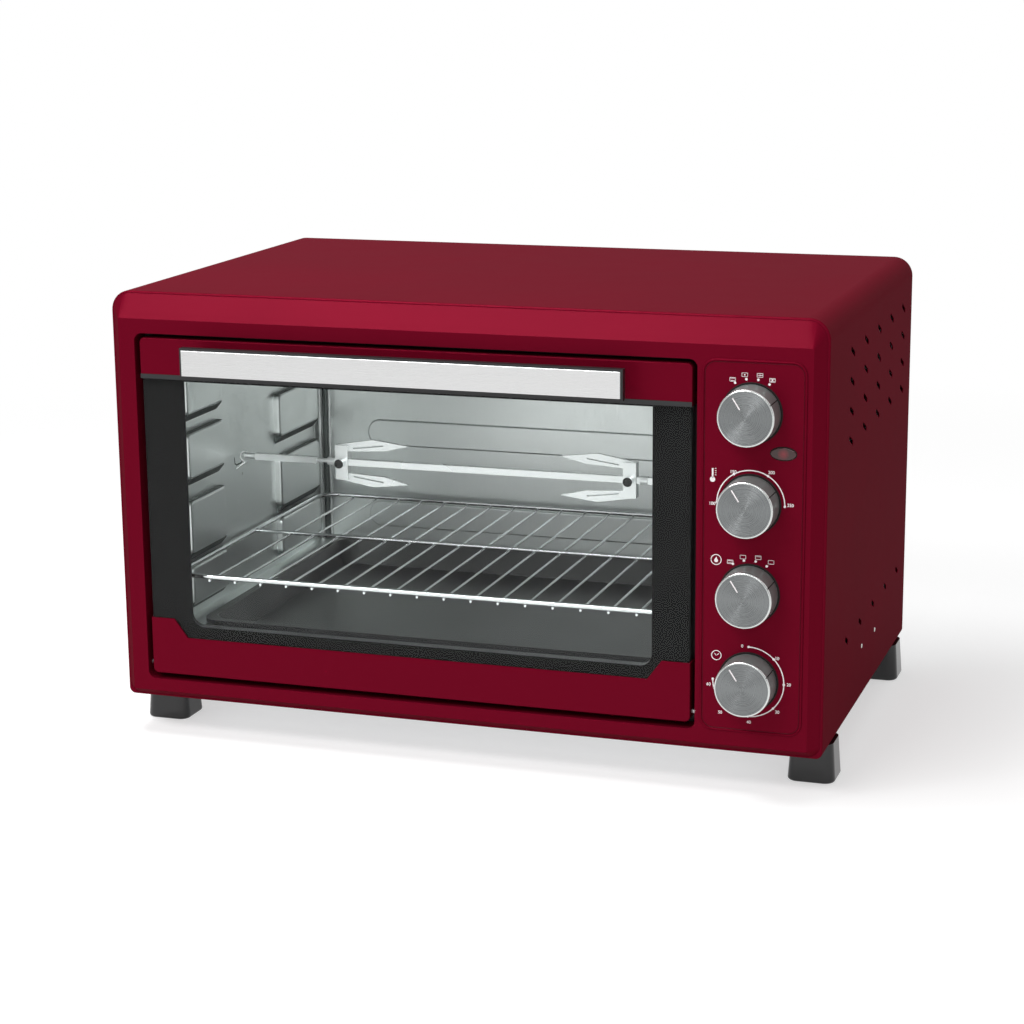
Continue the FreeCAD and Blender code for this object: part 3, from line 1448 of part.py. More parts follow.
def make_handle():
    """A black bar on two posts, faced with a brushed steel plate and screwed from inside."""
    bar_front = front - s.handle_reach + s.plate_t
    bar_back = bar_front + s.handle_t
    left = door_l + s.handle_side_gap
    right = door_r - s.handle_side_gap
    z = handle_z
    bar = new_body("handle_bar")
    pad(bar, "XZ", bar_front, bar_back,
        rectangle(left, right, z - s.handle_h / 2, z + s.handle_h / 2))
    keep("handle_bar", bar)
    border = s.plate_border
    plate = new_body("handle_plate")
    pad(plate, "XZ", bar_front - s.plate_t, bar_front,
        rectangle(left + border, right - border, z - s.handle_h / 2 + border,
                  z + s.handle_h / 2 - border))
    round_edges(plate, s.plate_t * PLATE_EDGE_SHARE, lambda e: lies_at(e, "y", bar_front - s.plate_t))
    keep("handle_plate", plate)
    posts = []
    bores = []
    screws = []
    screw_start = door_front + s.strip_sheet - s.handle_screw_l
    for index, x in enumerate(post_places()):
        posts.append(rod(f"post_{index}", "Y", x, bar_back, z, s.post_r, door_front - bar_back))
        bores.append(rod(f"post_bore_{index}", "Y", x, screw_start, z,
                         s.handle_screw_r + s.running_gap, s.handle_screw_l))
        screws.append(rod(f"handle_shank_{index}", "Y", x, screw_start + s.running_gap, z,
                          s.handle_screw_r, s.handle_screw_l - s.running_gap))
        screws.append(rod(f"handle_head_{index}", "Y", x, door_front + s.strip_sheet, z,
                          s.handle_screw_head_r, s.handle_screw_head))
    keep("handle_posts", cut("handle_posts", fuse("post_bodies", *posts), *bores))
    keep("handle_screws", fuse("handle_screws", *screws))


def make_hinge():
    """The door's two pins and the plates beside the opening in which they turn."""
    outside_l = opening_l - s.bezel_sheet
    outside_r = opening_r + s.bezel_sheet
    plate_t = s.hinge_plate_t
    reach = s.gap_side + s.bezel_sheet + plate_t + s.fit
    pins = [rod("left_pin", "X", door_l - reach, hinge_y, hinge_z, s.pin_r, reach + s.pin_inside),
            rod("right_pin", "X", door_r - s.pin_inside, hinge_y, hinge_z, s.pin_r,
                reach + s.pin_inside)]
    keep("hinge_pins", fuse("hinge_pins", *pins))
    y0 = hinge_y - s.hinge_plate_w / 2
    y1 = hinge_y + s.hinge_plate_w / 2
    z0 = hinge_z - s.hinge_plate_h / 2
    z1 = hinge_z + s.hinge_plate_h / 2
    plates = [box("left_hinge_plate", outside_l - plate_t, outside_l, y0, y1, z0, z1),
              box("right_hinge_plate", outside_r, outside_r + plate_t, y0, y1, z0, z1)]
    bores = [rod("left_hinge_bore", "X", outside_l - plate_t - s.overrun, hinge_y, hinge_z,
                 s.pin_r + s.running_gap, plate_t + 2 * s.overrun),
             rod("right_hinge_bore", "X", outside_r - s.overrun, hinge_y, hinge_z,
                 s.pin_r + s.running_gap, plate_t + 2 * s.overrun)]
    keep("hinge_plates", cut("hinge_plates", fuse("hinge_plate_bodies", *plates), *bores))


# Feet, screws, terminal block and gland


def make_foot(name, side, depth):
    """A glossy foot that widens downwards, with a well for its screw."""
    x = side * foot_x
    y = deep(depth)

    def outline(inset, z):
        return level_outline(x - s.foot_w / 2 + inset, x + s.foot_w / 2 - inset,
                             y - s.foot_l / 2 + inset, y + s.foot_l / 2 - inset, z,
                             s.foot_corner_r - inset / 2)

    block = loft(outline(ZERO, ZERO), outline(s.foot_draft, base))
    lower = [e for e in block.Edges if lies_at(e, "z", ZERO)]
    block = block.makeFillet(float(s.foot_edge_r), lower)
    screw_x = side * foot_screw_x
    well = Part.makeCylinder(float(s.foot_well_r), float(base - s.foot_web + s.overrun),
                             vector(screw_x, y, -s.overrun))
    hole = Part.makeCylinder(float(foot_hole_r), float(base + s.overrun), vector(screw_x, y, 0))
    keep(name, feature(name, block.cut([well, hole])))


def make_casing_screws():
    """The screws of the rear panel and of the feet, all separate solids."""
    pieces = []
    for index, (x, z) in enumerate(screw_places):
        pieces.append(rod(f"rear_head_{index}", "Y", x, rear, z, s.screw_head_r, s.screw_head))
        pieces.append(rod(f"rear_shank_{index}", "Y", x, rear - s.screw_l, z, s.screw_r, s.screw_l))
    for index, (x, y) in enumerate(foot_screw_places):
        seat = base - s.foot_web
        pieces.append(rod(f"foot_head_{index}", "Z", x, y, seat - s.foot_screw_head,
                          s.foot_screw_head_r, s.foot_screw_head))
        pieces.append(rod(f"foot_shank_{index}", "Z", x, y, seat, s.foot_screw_r,
                          s.foot_web + s.foot_screw_head + s.sheet))
    keep("casing_screws", fuse("casing_screws", *pieces))


def make_terminal_block():
    """The block on the base plate where the mains lead would end."""
    floor = base + 2 * s.sheet
    middle = half_w - s.block_inset
    x0 = middle - s.block_w / 2
    y0 = rear - s.block_rear_gap - s.block_l / 2
    block = box("block_body", x0, x0 + s.block_w, y0, y0 + s.block_l, floor, floor + s.block_h)
    holes = []
    for index in range(BLOCK_HOLES):
        x = middle + s.block_hole_pitch * (index - (BLOCK_HOLES - 1) / 2)
        holes.append(rod(f"block_hole_{index}", "Y", x, y0 - s.overrun, floor + s.block_h / 2,
                         s.block_hole_r, s.block_l + 2 * s.overrun))
    keep("terminal_block", cut("terminal_block", block, *holes))


def make_cable_gland():
    """The bush in the rear panel that the mains lead would pass through."""
    z = high(s.gland_z)
    head = rod("gland_head", "Y", gland_x, rear, z, s.gland_r, s.gland_reach)
    neck = rod("gland_neck", "Y", gland_x, rear - s.sheet, z, s.gland_neck_r, s.sheet)
    nut = rod("gland_nut", "Y", gland_x, rear - s.sheet - s.gland_inner, z,
              s.gland_r, s.gland_inner)
    bore = rod("gland_bore", "Y", gland_x, rear - s.sheet - s.gland_inner - s.overrun, z,
               s.gland_bore_r, s.gland_reach + s.sheet + s.gland_inner + 2 * s.overrun)
    keep("cable_gland", cut("cable_gland", fuse("gland_solid", head, neck, nut), bore))


make_outer_casing()
make_rear_panel()
make_base_plate()
make_front_bezel()
make_control_panel()
make_panel_bracket()
make_indicator()
for knob_name, knob_z in zip(("timer", "function", "temperature", "mode"), knob_heights):
    make_knob(knob_name, knob_z)
make_switch("timer_unit", knob_heights[0], s.timer_w, s.timer_h, s.timer_d)
make_switch("function_switch", knob_heights[1], s.switch_w, s.switch_h, s.switch_d)
make_switch("thermostat", knob_heights[2], s.thermostat_w, s.thermostat_h, s.thermostat_d)
make_switch("mode_switch", knob_heights[3], s.switch_w, s.switch_h, s.switch_d)
make_mouth_frame()
make_cavity()
make_element("lower_element", element_low)
make_element("upper_element", element_high)
make_element_fittings()
make_wire_rack()
make_bake_tray()
make_spit()
make_fork("spit_fork_left", fork_left_x, 1)
make_fork("spit_fork_right", fork_right_x, -1)
make_fork_screws()
make_drive()
make_spit_bracket()
make_top_strip()
make_bottom_strip()
make_glass()
make_inner_frame()
make_handle()
make_hinge()
make_foot("foot_front_left", -1, foot_depths[0])
make_foot("foot_front_right", 1, foot_depths[0])
make_foot("foot_rear_left", -1, foot_depths[1])
make_foot("foot_rear_right", 1, foot_depths[1])
make_casing_screws()
make_terminal_block()
make_cable_gland()

doc.recompute()
for thing in doc.Objects:
    if "Invalid" in thing.State or "Error" in thing.State:
        raise RuntimeError(f"{thing.Name} is {thing.State}")
for node_name, thing in nodes.items():
    if thing.Shape.isNull() or not thing.Shape.isValid() or not thing.Shape.Solids:
        raise RuntimeError(f"{node_name} has no valid solid")

os.makedirs("parts", exist_ok=True)
for node_name, thing in nodes.items():
    thing.Shape.exportStep(f"parts/{node_name}.step")
    print(node_name, len(thing.Shape.Solids), round(thing.Shape.Volume))
print(len(nodes), "sub-parts")
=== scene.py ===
# %% [markdown]
# # Dressing a counter-top oven
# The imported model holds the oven's construction: where each sheet, wire and knob is, and how
# the door, rack and spit move. This lesson gives it its looks. Each cell makes one piece or
# one finish, and says first what that is on the real oven and why it is made this way.

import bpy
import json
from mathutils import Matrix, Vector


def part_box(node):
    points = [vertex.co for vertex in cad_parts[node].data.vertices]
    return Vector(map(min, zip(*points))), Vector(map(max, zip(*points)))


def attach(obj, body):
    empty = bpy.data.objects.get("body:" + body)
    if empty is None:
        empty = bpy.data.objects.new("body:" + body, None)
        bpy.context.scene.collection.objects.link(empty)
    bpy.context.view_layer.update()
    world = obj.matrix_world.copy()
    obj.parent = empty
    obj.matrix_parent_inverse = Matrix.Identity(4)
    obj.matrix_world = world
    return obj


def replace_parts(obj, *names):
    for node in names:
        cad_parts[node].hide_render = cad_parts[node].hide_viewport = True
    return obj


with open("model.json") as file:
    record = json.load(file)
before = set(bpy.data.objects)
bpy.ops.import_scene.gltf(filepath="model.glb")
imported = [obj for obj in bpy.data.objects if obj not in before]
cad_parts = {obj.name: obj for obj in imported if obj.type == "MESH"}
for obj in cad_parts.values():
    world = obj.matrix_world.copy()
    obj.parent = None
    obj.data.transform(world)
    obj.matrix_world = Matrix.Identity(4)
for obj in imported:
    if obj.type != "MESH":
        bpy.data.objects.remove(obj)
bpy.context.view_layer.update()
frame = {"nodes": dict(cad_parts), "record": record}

# %% Import what the lesson uses
import json
import math

import bmesh
import bpy
from mathutils import Matrix, Vector

MM = 0.001
print("one millimetre is", MM, "of Blender's units")

# %% [markdown]
# ## Places on the oven
# Every later cell places its piece from the frame, never from a number that repeats it. The
# panel's face, the knobs' axes and the pane are read from the boxes of the CAD nodes once.

# %% Read the main places from the frame
panel_low, panel_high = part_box("control_panel")
bezel_low, bezel_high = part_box("front_bezel")
casing_low, casing_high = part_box("outer_casing")
KNOBS = ("mode", "temperature", "function", "timer")


def centre_of(node):
    """The middle of a CAD node's box."""
    low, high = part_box(node)
    return (low + high) / 2


panel_face = panel_low.y
print("the panel's face is at y =", round(panel_face, 4))

# %% [markdown]
# ## The camera
# The photograph was taken with a long lens from the front right and slightly above. Yaw,
# pitch and roll were found by fitting straight edges of the casing, so the render can be
# laid over the photograph.

# %% Place the camera
FOCAL_LENGTH = 85.77
SENSOR_WIDTH = 36.0
CAMERA_PLACE = Vector((0.58369, -1.76313, 0.59514))
YAW = math.radians(18.59)
PITCH = math.radians(13.318)
ROLL = math.radians(-0.526)

camera_data = bpy.data.cameras.new("photo_camera")
camera_data.lens = FOCAL_LENGTH
camera_data.sensor_width = SENSOR_WIDTH
camera = bpy.data.objects.new("photo_camera", camera_data)
bpy.context.scene.collection.objects.link(camera)
forward = Vector((-math.sin(YAW) * math.cos(PITCH), math.cos(YAW) * math.cos(PITCH), -math.sin(PITCH)))
level = Vector((math.cos(YAW), math.sin(YAW), 0.0))
upward = level.cross(forward)
right = level * math.cos(ROLL) + upward * math.sin(ROLL)
upward = upward * math.cos(ROLL) - level * math.sin(ROLL)
turn = Matrix((right, upward, -forward)).transposed().to_4x4()
camera.matrix_world = Matrix.Translation(CAMERA_PLACE) @ turn
bpy.context.scene.camera = camera
print("the camera stands", round(CAMERA_PLACE.length, 2), "m from the oven")

# %% [markdown]
# ## The studio
# The oven stands on a white floor. Near it the floor is ordinary matt white, so it takes the
# oven's shadow and throws light back up. What the camera, mirrors and glass see of it is
# lifted to white, and further out the floor fades into plain white with no horizon.

# %% Make the floor
FLOOR_REACH = 60.0
FLOOR_COLOUR = (0.6, 0.6, 0.6, 1.0)
FLOOR_LIFT = 0.5
FADE_START, FADE_END = 0.55, 1.5


def placed(name, data):
    """A new object in the scene."""
    holder = bpy.data.objects.new(name, data)
    bpy.context.scene.collection.objects.link(holder)
    return holder


class Net:
    """A node tree that is wired one node at a time."""

    def __init__(self, tree):
        self.tree = tree

    def feed(self, socket, value):
        """Links another node's output to a socket, or sets the socket where the value is plain."""
        if isinstance(value, bpy.types.NodeSocket):
            self.tree.links.new(value, socket)
        else:
            socket.default_value = value

    def add(self, kind, inputs=None, **settings):
        """A node with its settings made and its inputs fed."""
        node = self.tree.nodes.new(kind)
        for name, value in settings.items():
            setattr(node, name, value)
        for socket, value in (inputs or {}).items():
            self.feed(node.inputs[socket], value)
        return node

    def maths(self, operation, *values):
        """The result of a Math node."""
        return self.add("ShaderNodeMath", dict(enumerate(values)), operation=operation).outputs[0]

    def ranged(self, value, from_low, from_high, to_low=0.0, to_high=1.0):
        """The result of a clamped Map Range node."""
        return self.add("ShaderNodeMapRange", {
            "Value": value, "From Min": from_low, "From Max": from_high, "To Min": to_low,
            "To Max": to_high}).outputs["Result"]

    def seen_ray(self):
        """One where a camera, mirror or glass ray looks, and zero for light that falls on things."""
        path = self.add("ShaderNodeLightPath").outputs
        seen = self.maths("MAXIMUM", path["Is Camera Ray"], path["Is Glossy Ray"])
        return self.maths("MAXIMUM", seen, path["Is Transmission Ray"])


def new_material(name):
    """A material with an empty node tree, its net and the surface socket of its output."""
    material = bpy.data.materials.new(name)
    material.use_nodes = True
    material.node_tree.nodes.clear()
    net = Net(material.node_tree)
    return material, net, net.add("ShaderNodeOutputMaterial").inputs["Surface"]


def make_floor():
    mesh = bpy.data.meshes.new("studio_floor")
    corners = [(x * FLOOR_REACH, y * FLOOR_REACH, 0) for x, y in ((-1, -1), (1, -1), (1, 1), (-1, 1))]
    mesh.from_pydata(corners, [], [(0, 1, 2, 3)])
    material, net, surface = new_material("studio_floor")
    seen = net.seen_ray()
    matt = net.add("ShaderNodeBsdfDiffuse", {"Color": FLOOR_COLOUR}).outputs[0]
    lift = net.add("ShaderNodeEmission", {"Strength": net.maths("MULTIPLY", seen, FLOOR_LIFT)}).outputs[0]
    near = net.add("ShaderNodeAddShader", {0: matt, 1: lift}).outputs[0]
    far = net.add("ShaderNodeEmission").outputs[0]
    place = net.add("ShaderNodeTexCoord").outputs["Object"]
    reach = net.add("ShaderNodeVectorMath", {0: place}, operation="LENGTH").outputs["Value"]
    fade = net.maths("MULTIPLY", net.ranged(reach, FADE_START, FADE_END), seen)
    net.feed(surface, net.add("ShaderNodeMixShader", {"Fac": fade, 1: near, 2: far}).outputs[0])
    mesh.materials.append(material)
    placed("studio_floor", mesh)


make_floor()
print("the floor is white from", FADE_END, "m out")

# %% [markdown]
# ## The sky
# The sky lights the oven evenly and is seen as plain white. What shines in mirrors is white
# behind the oven and dimmer in front of it, as in a studio where the camera stands in the dark.

# %% Make the sky
SKY_LEVEL = 0.46
MIRROR_FRONT, MIRROR_BACK = 0.5, 1.3
MIRROR_TURN = 0.5


def make_sky():
    world = bpy.data.worlds.new("studio_sky")
    world.use_nodes = True
    net = Net(world.node_tree)
    path = net.add("ShaderNodeLightPath").outputs
    place = net.add("ShaderNodeTexCoord").outputs["Generated"]
    ahead = net.add("ShaderNodeSeparateXYZ", {0: place}).outputs["Y"]
    mirrored = net.ranged(ahead, -MIRROR_TURN, MIRROR_TURN, MIRROR_FRONT, MIRROR_BACK)
    plain = net.maths("MAXIMUM", path["Is Camera Ray"], path["Is Transmission Ray"])
    shown = net.maths("MAXIMUM", net.maths("MULTIPLY", path["Is Glossy Ray"], mirrored), plain)
    unseen = net.maths("SUBTRACT", 1.0, net.seen_ray())
    background = world.node_tree.nodes["Background"].inputs
    net.feed(background["Color"], (1, 1, 1, 1))
    net.feed(background["Strength"], net.maths("ADD", shown, net.maths("MULTIPLY", unseen, SKY_LEVEL)))
    bpy.context.scene.world = world


make_sky()
bpy.context.scene.view_settings.view_transform = "Standard"
print("the sky lights the oven at", SKY_LEVEL)

# %% [markdown]
# ## The lamps
# One softbox hangs above the oven and fades over its top. A long one stands high in front,
# where the slope over the door mirrors it as a bright band. A third fills the knobs' faces.

# %% Hang the soft lamps
LAMPS = {
    # name: (place, aim, width, height, watts)
    "overhead_softbox": ((-0.5, -0.3, 1.8), (0.0, 0.0, 0.3), 0.9, 0.45, 16.0),
    "high_front_softbox": ((-0.65, -1.5, 1.63), (0.0, 0.0, 0.25), 1.5, 0.45, 22.0),
    "front_right_softbox": ((0.63, -2.7, 1.35), (0.0, 0.0, 0.2), 1.0, 0.6, 9.0),
}


def hang_lamp(name, place, aim, width, height, watts):
    data = bpy.data.lights.new(name, "AREA")
    data.shape = "RECTANGLE"
    data.size = width
    data.size_y = height
    data.energy = watts
    lamp = placed(name, data)
    lamp.location = place
    lamp.rotation_euler = (Vector(aim) - Vector(place)).to_track_quat("-Z", "Y").to_euler()


for lamp_name, settings in LAMPS.items():
    hang_lamp(lamp_name, *settings)
print(len(LAMPS), "lamps hang over the floor")

# %% [markdown]
# ## Shared surface effects
# Two effects come back in many finishes: a fine uneven grain and long brushed lines. Each is a
# node group with named inputs. It gives out a height, a gloss and a tone that change over the
# surface. The shader itself stays in each material.

# %% Build the shared effect groups
NOISE_LOW, NOISE_HIGH = 0.3, 0.7


def new_group(name, inputs):
    """An effect group with its named sockets, as its net, its entry and its exit."""
    group = bpy.data.node_groups.new(name, "ShaderNodeTree")
    for socket, kind, value in (*inputs, ("Gloss low", "Float", 0.2), ("Gloss high", "Float", 0.3)):
        made = group.interface.new_socket(socket, in_out="INPUT", socket_type="NodeSocket" + kind)
        made.default_value = value
    for socket in ("Height", "Roughness", "Tone"):
        group.interface.new_socket(socket, in_out="OUTPUT", socket_type="NodeSocketFloat")
    net = Net(group)
    return net, net.add("NodeGroupInput").outputs, net.add("NodeGroupOutput").inputs


def give_out(net, entry, leave, height, tone):
    """Ends an effect group, with the gloss spread over the tone."""
    gloss = net.ranged(tone, NOISE_LOW, NOISE_HIGH, entry["Gloss low"], entry["Gloss high"])
    for socket, value in (("Height", height), ("Roughness", gloss), ("Tone", tone)):
        net.feed(leave[socket], value)
    return net.tree


def noise(net, place, scale, detail):
    """Noise that changes over a place."""
    return net.add("ShaderNodeTexNoise", {"Vector": place, "Scale": scale, "Detail": detail}).outputs["Fac"]


def make_fine_grain():
    """Uneven relief and gloss at one scale, such as sprayed enamel or moulded plastic."""
    net, entry, leave = new_group("fine_grain", [
        ("Grains per metre", "Float", 900.0), ("Patches per metre", "Float", 9.0)])
    place = net.add("ShaderNodeTexCoord").outputs["Object"]
    return give_out(net, entry, leave, noise(net, place, entry["Grains per metre"], 2.0),
                    noise(net, place, entry["Patches per metre"], 3.0))


def make_brushed_lines():
    """Long thin lines along one axis, which the stretch of the place picks."""
    net, entry, leave = new_group("brushed_lines", [("Stretch", "Vector", (20.0, 1500.0, 1500.0))])
    place = net.add("ShaderNodeTexCoord").outputs["Object"]
    stretched = net.add("ShaderNodeVectorMath", {0: place, 1: entry["Stretch"]}, operation="MULTIPLY")
    lines = noise(net, stretched.outputs[0], 1.0, 3.0)
    return give_out(net, entry, leave, lines, lines)


FINE_GRAIN = make_fine_grain()
BRUSHED_LINES = make_brushed_lines()
print("effect groups:", FINE_GRAIN.name, BRUSHED_LINES.name)

# %% Define the helpers that a finish needs


def spaced(values):
    """Values by keyword as values by socket name, with spaces for underscores."""
    return {name.replace("_", " "): value for name, value in values.items()}


def principled(net, surface, colour, **values):
    """A Principled shader whose plain values sit on its own sockets."""
    shader = net.add("ShaderNodeBsdfPrincipled", {"Base Color": (*colour, 1.0), **spaced(values)})
    net.feed(surface, shader.outputs["BSDF"])
    return shader


def relief(net, shader, height, depth, edge):
    """Turns an effect's height into a bump of that depth, on edges rounded by a small radius."""
    inputs = {"Strength": 1.0, "Distance": depth, "Height": height}
    if edge:
        inputs["Normal"] = net.add("ShaderNodeBevel", {"Radius": edge}).outputs["Normal"]
    net.feed(shader.inputs["Normal"], net.add("ShaderNodeBump", inputs).outputs["Normal"])


def shade_by(net, shader, value, low, high):
    """Blends the base colour between two tones by a value that changes over the surface."""
    tones = {"Factor": value, "A": (*low, 1.0), "B": (*high, 1.0)}
    blend = net.add("ShaderNodeMix", tones, data_type="RGBA")
    net.feed(shader.inputs["Base Color"], blend.outputs["Result"])


def with_effect(name, group, inputs, low, high, gloss, depth, edge=0.0, **values):
    """A finish whose gloss, tone and relief come from an effect group."""
    material, net, surface = new_material(name)
    shader = principled(net, surface, low, **values)
    inputs = {**inputs, "Gloss low": gloss[0], "Gloss high": gloss[1]}
    effect = net.add("ShaderNodeGroup", inputs, node_tree=group).outputs
    net.feed(shader.inputs["Roughness"], effect["Roughness"])
    shade_by(net, shader, effect["Tone"], low, high)
    relief(net, shader, effect["Height"], depth * MM, edge * MM)
    return material


def grained(name, low, high, gloss, grains, depth, patches=9.0, **values):
    """A finish with a fine uneven grain: enamel, plastic or ceramic."""
    inputs = {"Grains per metre": grains, "Patches per metre": patches}
    return with_effect(name, FINE_GRAIN, inputs, low, high, gloss, depth, **values)


def brushed(name, low, high, gloss, stretch, depth):
    """A bare metal finish with lines along one axis."""
    return with_effect(name, BRUSHED_LINES, {"Stretch": stretch}, low, high, gloss, depth, Metallic=1.0)


print("finish helpers are ready")

# %% [markdown]
# ## Finishes of the oven
# The casing is sprayed with a deep cherry enamel that is slightly uneven, like orange peel.
# The cavity is satin coated steel. Wires are bright chrome. The spit, its forks, its hook and the
# cavity's bright hems share a near-white, half-diffuse steel that is painted sheen. The door's
# border is a black print behind the glass. The ink on the panel is a slightly warm white, and the
# same white bar on each knob is the pointer's painted highlight.

# %% Mix the finishes
RED_LOW = (0.141, 0.0022, 0.0132)
RED_HIGH = (0.153, 0.0026, 0.0148)
RED_TINT = (0.2, 0.01, 0.02, 1.0)
GRAINED = {
    # name: (darker tone, lighter tone, gloss, grains per metre, relief in millimetres, own values)
    "red_paint": (RED_LOW, RED_HIGH, (0.4, 0.46), 700, 0.02, dict(
        Metallic=0.35, Specular_IOR_Level=0.0, Specular_Tint=RED_TINT, Coat_Weight=0.03, Coat_Roughness=0.25,
        edge=0.5)),
    "galvanised_steel": ((0.5, 0.51, 0.52), (0.62, 0.63, 0.65), (0.38, 0.5), 400, 0.01,
                         dict(patches=60.0, Metallic=1.0)),
    "black_enamel": ((0.014, 0.014, 0.015), (0.02, 0.02, 0.021), (0.28, 0.36), 300, 0.003, {}),
    "black_print": ((0.009, 0.009, 0.009), (0.011, 0.011, 0.011), (0.3, 0.36), 1500, 0.004,
                    dict(Specular_IOR_Level=0.0)),
    "black_plastic": ((0.012, 0.012, 0.013), (0.016, 0.016, 0.017), (0.3, 0.38), 1800, 0.01, {}),
    "foot_plastic": ((0.006, 0.006, 0.007), (0.009, 0.009, 0.01), (0.07, 0.1), 500, 0.01, {}),
    "shaft_steel": ((0.5, 0.5, 0.51), (0.6, 0.6, 0.61), (0.3, 0.4), 1500, 0.01, dict(Metallic=1.0)),
    "chrome_wire": ((0.72, 0.74, 0.75), (0.8, 0.81, 0.82), (0.1, 0.18), 900, 0.01, dict(Metallic=1.0)),
    # spit_steel is half diffuse and near white, lighter than steel is: painted sheen on the spit, its forks,
    # its hook and the cavity's hems.
    "spit_steel": ((0.92, 0.95, 0.95), (0.97, 0.99, 0.99), (0.2, 0.3), 1200, 0.006, dict(Metallic=0.5)),
    "socket_steel": ((0.4, 0.4, 0.41), (0.5, 0.5, 0.5), (0.3, 0.4), 900, 0.01, dict(Metallic=1.0)),
    "element_sheath": ((0.12, 0.12, 0.115), (0.2, 0.19, 0.18), (0.4, 0.55), 400, 0.02,
                       dict(patches=25.0, Metallic=1.0)),
    "ceramic": ((0.72, 0.7, 0.65), (0.8, 0.78, 0.73), (0.5, 0.6), 700, 0.03, {}),
    "switch_plastic": ((0.03, 0.03, 0.03), (0.05, 0.05, 0.05), (0.4, 0.5), 900, 0.01, {}),
    "zinc_steel": ((0.5, 0.5, 0.48), (0.62, 0.62, 0.6), (0.3, 0.42), 500, 0.01,
                   dict(patches=40.0, Metallic=1.0)),
    "knob_rim": ((0.62, 0.64, 0.63), (0.7, 0.72, 0.71), (0.2, 0.28), 1500, 0.004, dict(Metallic=1.0)),
    "knob_side": ((0.26, 0.33, 0.32), (0.31, 0.38, 0.37), (0.3, 0.38), 1500, 0.004, dict(Metallic=0.55)),
    # slot_shade is near black: painted shade in the knobs' slots and round the knobs and the lens.
    "slot_shade": ((0.015, 0.012, 0.012), (0.02, 0.016, 0.016), (0.5, 0.6), 900, 0.01,
                   dict(Specular_IOR_Level=0.1)),
    # groove_shade is a near-black red for the painted shade line inside the panel's edge.
    "groove_shade": ((0.03, 0.001, 0.003), (0.04, 0.001, 0.004), (0.5, 0.6), 900, 0.01, {}),
    "dark_screw": ((0.03, 0.03, 0.03), (0.05, 0.05, 0.05), (0.25, 0.35), 1500, 0.004, dict(Metallic=0.6)),
    "white_print": ((0.93, 0.87, 0.88), (0.98, 0.93, 0.94), (0.45, 0.55), 1500, 0.004, {}),
}
BRUSHED = {
    # name: (darker tone, lighter tone, gloss, stretch, relief in millimetres)
    "cavity_steel": ((0.8, 0.83, 0.82), (0.88, 0.91, 0.9), (0.3, 0.42), (900.0, 60.0, 60.0), 0.01),
    # shaded_steel is dark steel for painted shade on the blocks, the rear folds and along the hook's dent.
    "shaded_steel": ((0.09, 0.11, 0.105), (0.14, 0.16, 0.155), (0.4, 0.5), (900.0, 60.0, 60.0), 0.01),
    "handle_steel": ((0.7, 0.7, 0.7), (0.78, 0.78, 0.78), (0.24, 0.36), (12.0, 3000.0, 3000.0), 0.008),
}
finishes = {name: grained(name, *row, **own) for name, (*row, own) in GRAINED.items()}
finishes.update({name: brushed(name, *row) for name, row in BRUSHED.items()})
print(len(finishes), "finishes mixed")

# %% [markdown]
# ## The pane and the lamp glass
# Cycles lets no lamp shine straight through a Principled glass, and the cavity would stay
# dark. The pane therefore turns transparent for shadow rays only. To the eye and to mirrors
# it stays real glass, with its plain Transmission Weight on the shader.

# %% Make the glass
PANE_IOR = 1.2


def clear_pane(name, colour, roughness, tint):
    """Glass for the eye, and a tinted clear sheet for the light that falls through it."""
    material, net, surface = new_material(name)
    glass = principled(net, surface, colour, Roughness=roughness, IOR=PANE_IOR, Transmission_Weight=1.0)
    clear = net.add("ShaderNodeBsdfTransparent", {"Color": (*tint, 1.0)})
    shadow = net.add("ShaderNodeLightPath").outputs["Is Shadow Ray"]
    mix = net.add("ShaderNodeMixShader", {"Fac": shadow, 1: glass.outputs[0], 2: clear.outputs[0]})
    net.feed(surface, mix.outputs[0])
    return material


finishes["clear_glass"] = clear_pane("clear_glass", (0.97, 0.99, 0.985), 0.0, (0.94, 0.97, 0.96))
finishes["lamp_glass"] = clear_pane("lamp_glass", (0.9, 0.5, 0.3), 0.1, (0.9, 0.5, 0.3))
print("glass made")

# %% [markdown]
# ## Metal turned on a lathe, and a lens
# A turned face shines in rings, so its tone and gloss change with the distance from the axis.
# The knob's tree stores that distance on the mesh, and the finish reads it from there. The red
# lens has a painted glow: it is lighter in the middle, where the lamp stands behind it.

# %% Mix the knob's metal and the lens
KNOB_LOW, KNOB_HIGH = (0.18, 0.19, 0.195), (0.24, 0.25, 0.25)
KNOB_GLOSS = (0.24, 0.32)
RINGS_PER_METRE = 1500.0
# LENS_GLOW, the lighter red in the middle, is a painted glow of the lamp behind the lens.
LENS_EDGE, LENS_GLOW = (0.045, 0.012, 0.012), (0.3, 0.012, 0.025)
GLOW_REACH = 4.5 * MM


def spun_metal():
    """Turned metal whose tone and gloss change from ring to ring."""
    material, net, surface = new_material("knob_metal")
    shader = principled(net, surface, KNOB_LOW, Metallic=1.0)
    radius = net.add("ShaderNodeAttribute", attribute_name="ring_radius").outputs["Fac"]
    rings = net.add("ShaderNodeTexNoise", {"W": radius, "Scale": RINGS_PER_METRE, "Detail": 2.0},
                    noise_dimensions="1D").outputs["Fac"]
    shade_by(net, shader, rings, KNOB_LOW, KNOB_HIGH)
    net.feed(shader.inputs["Roughness"], net.ranged(rings, NOISE_LOW, NOISE_HIGH, *KNOB_GLOSS))
    return material


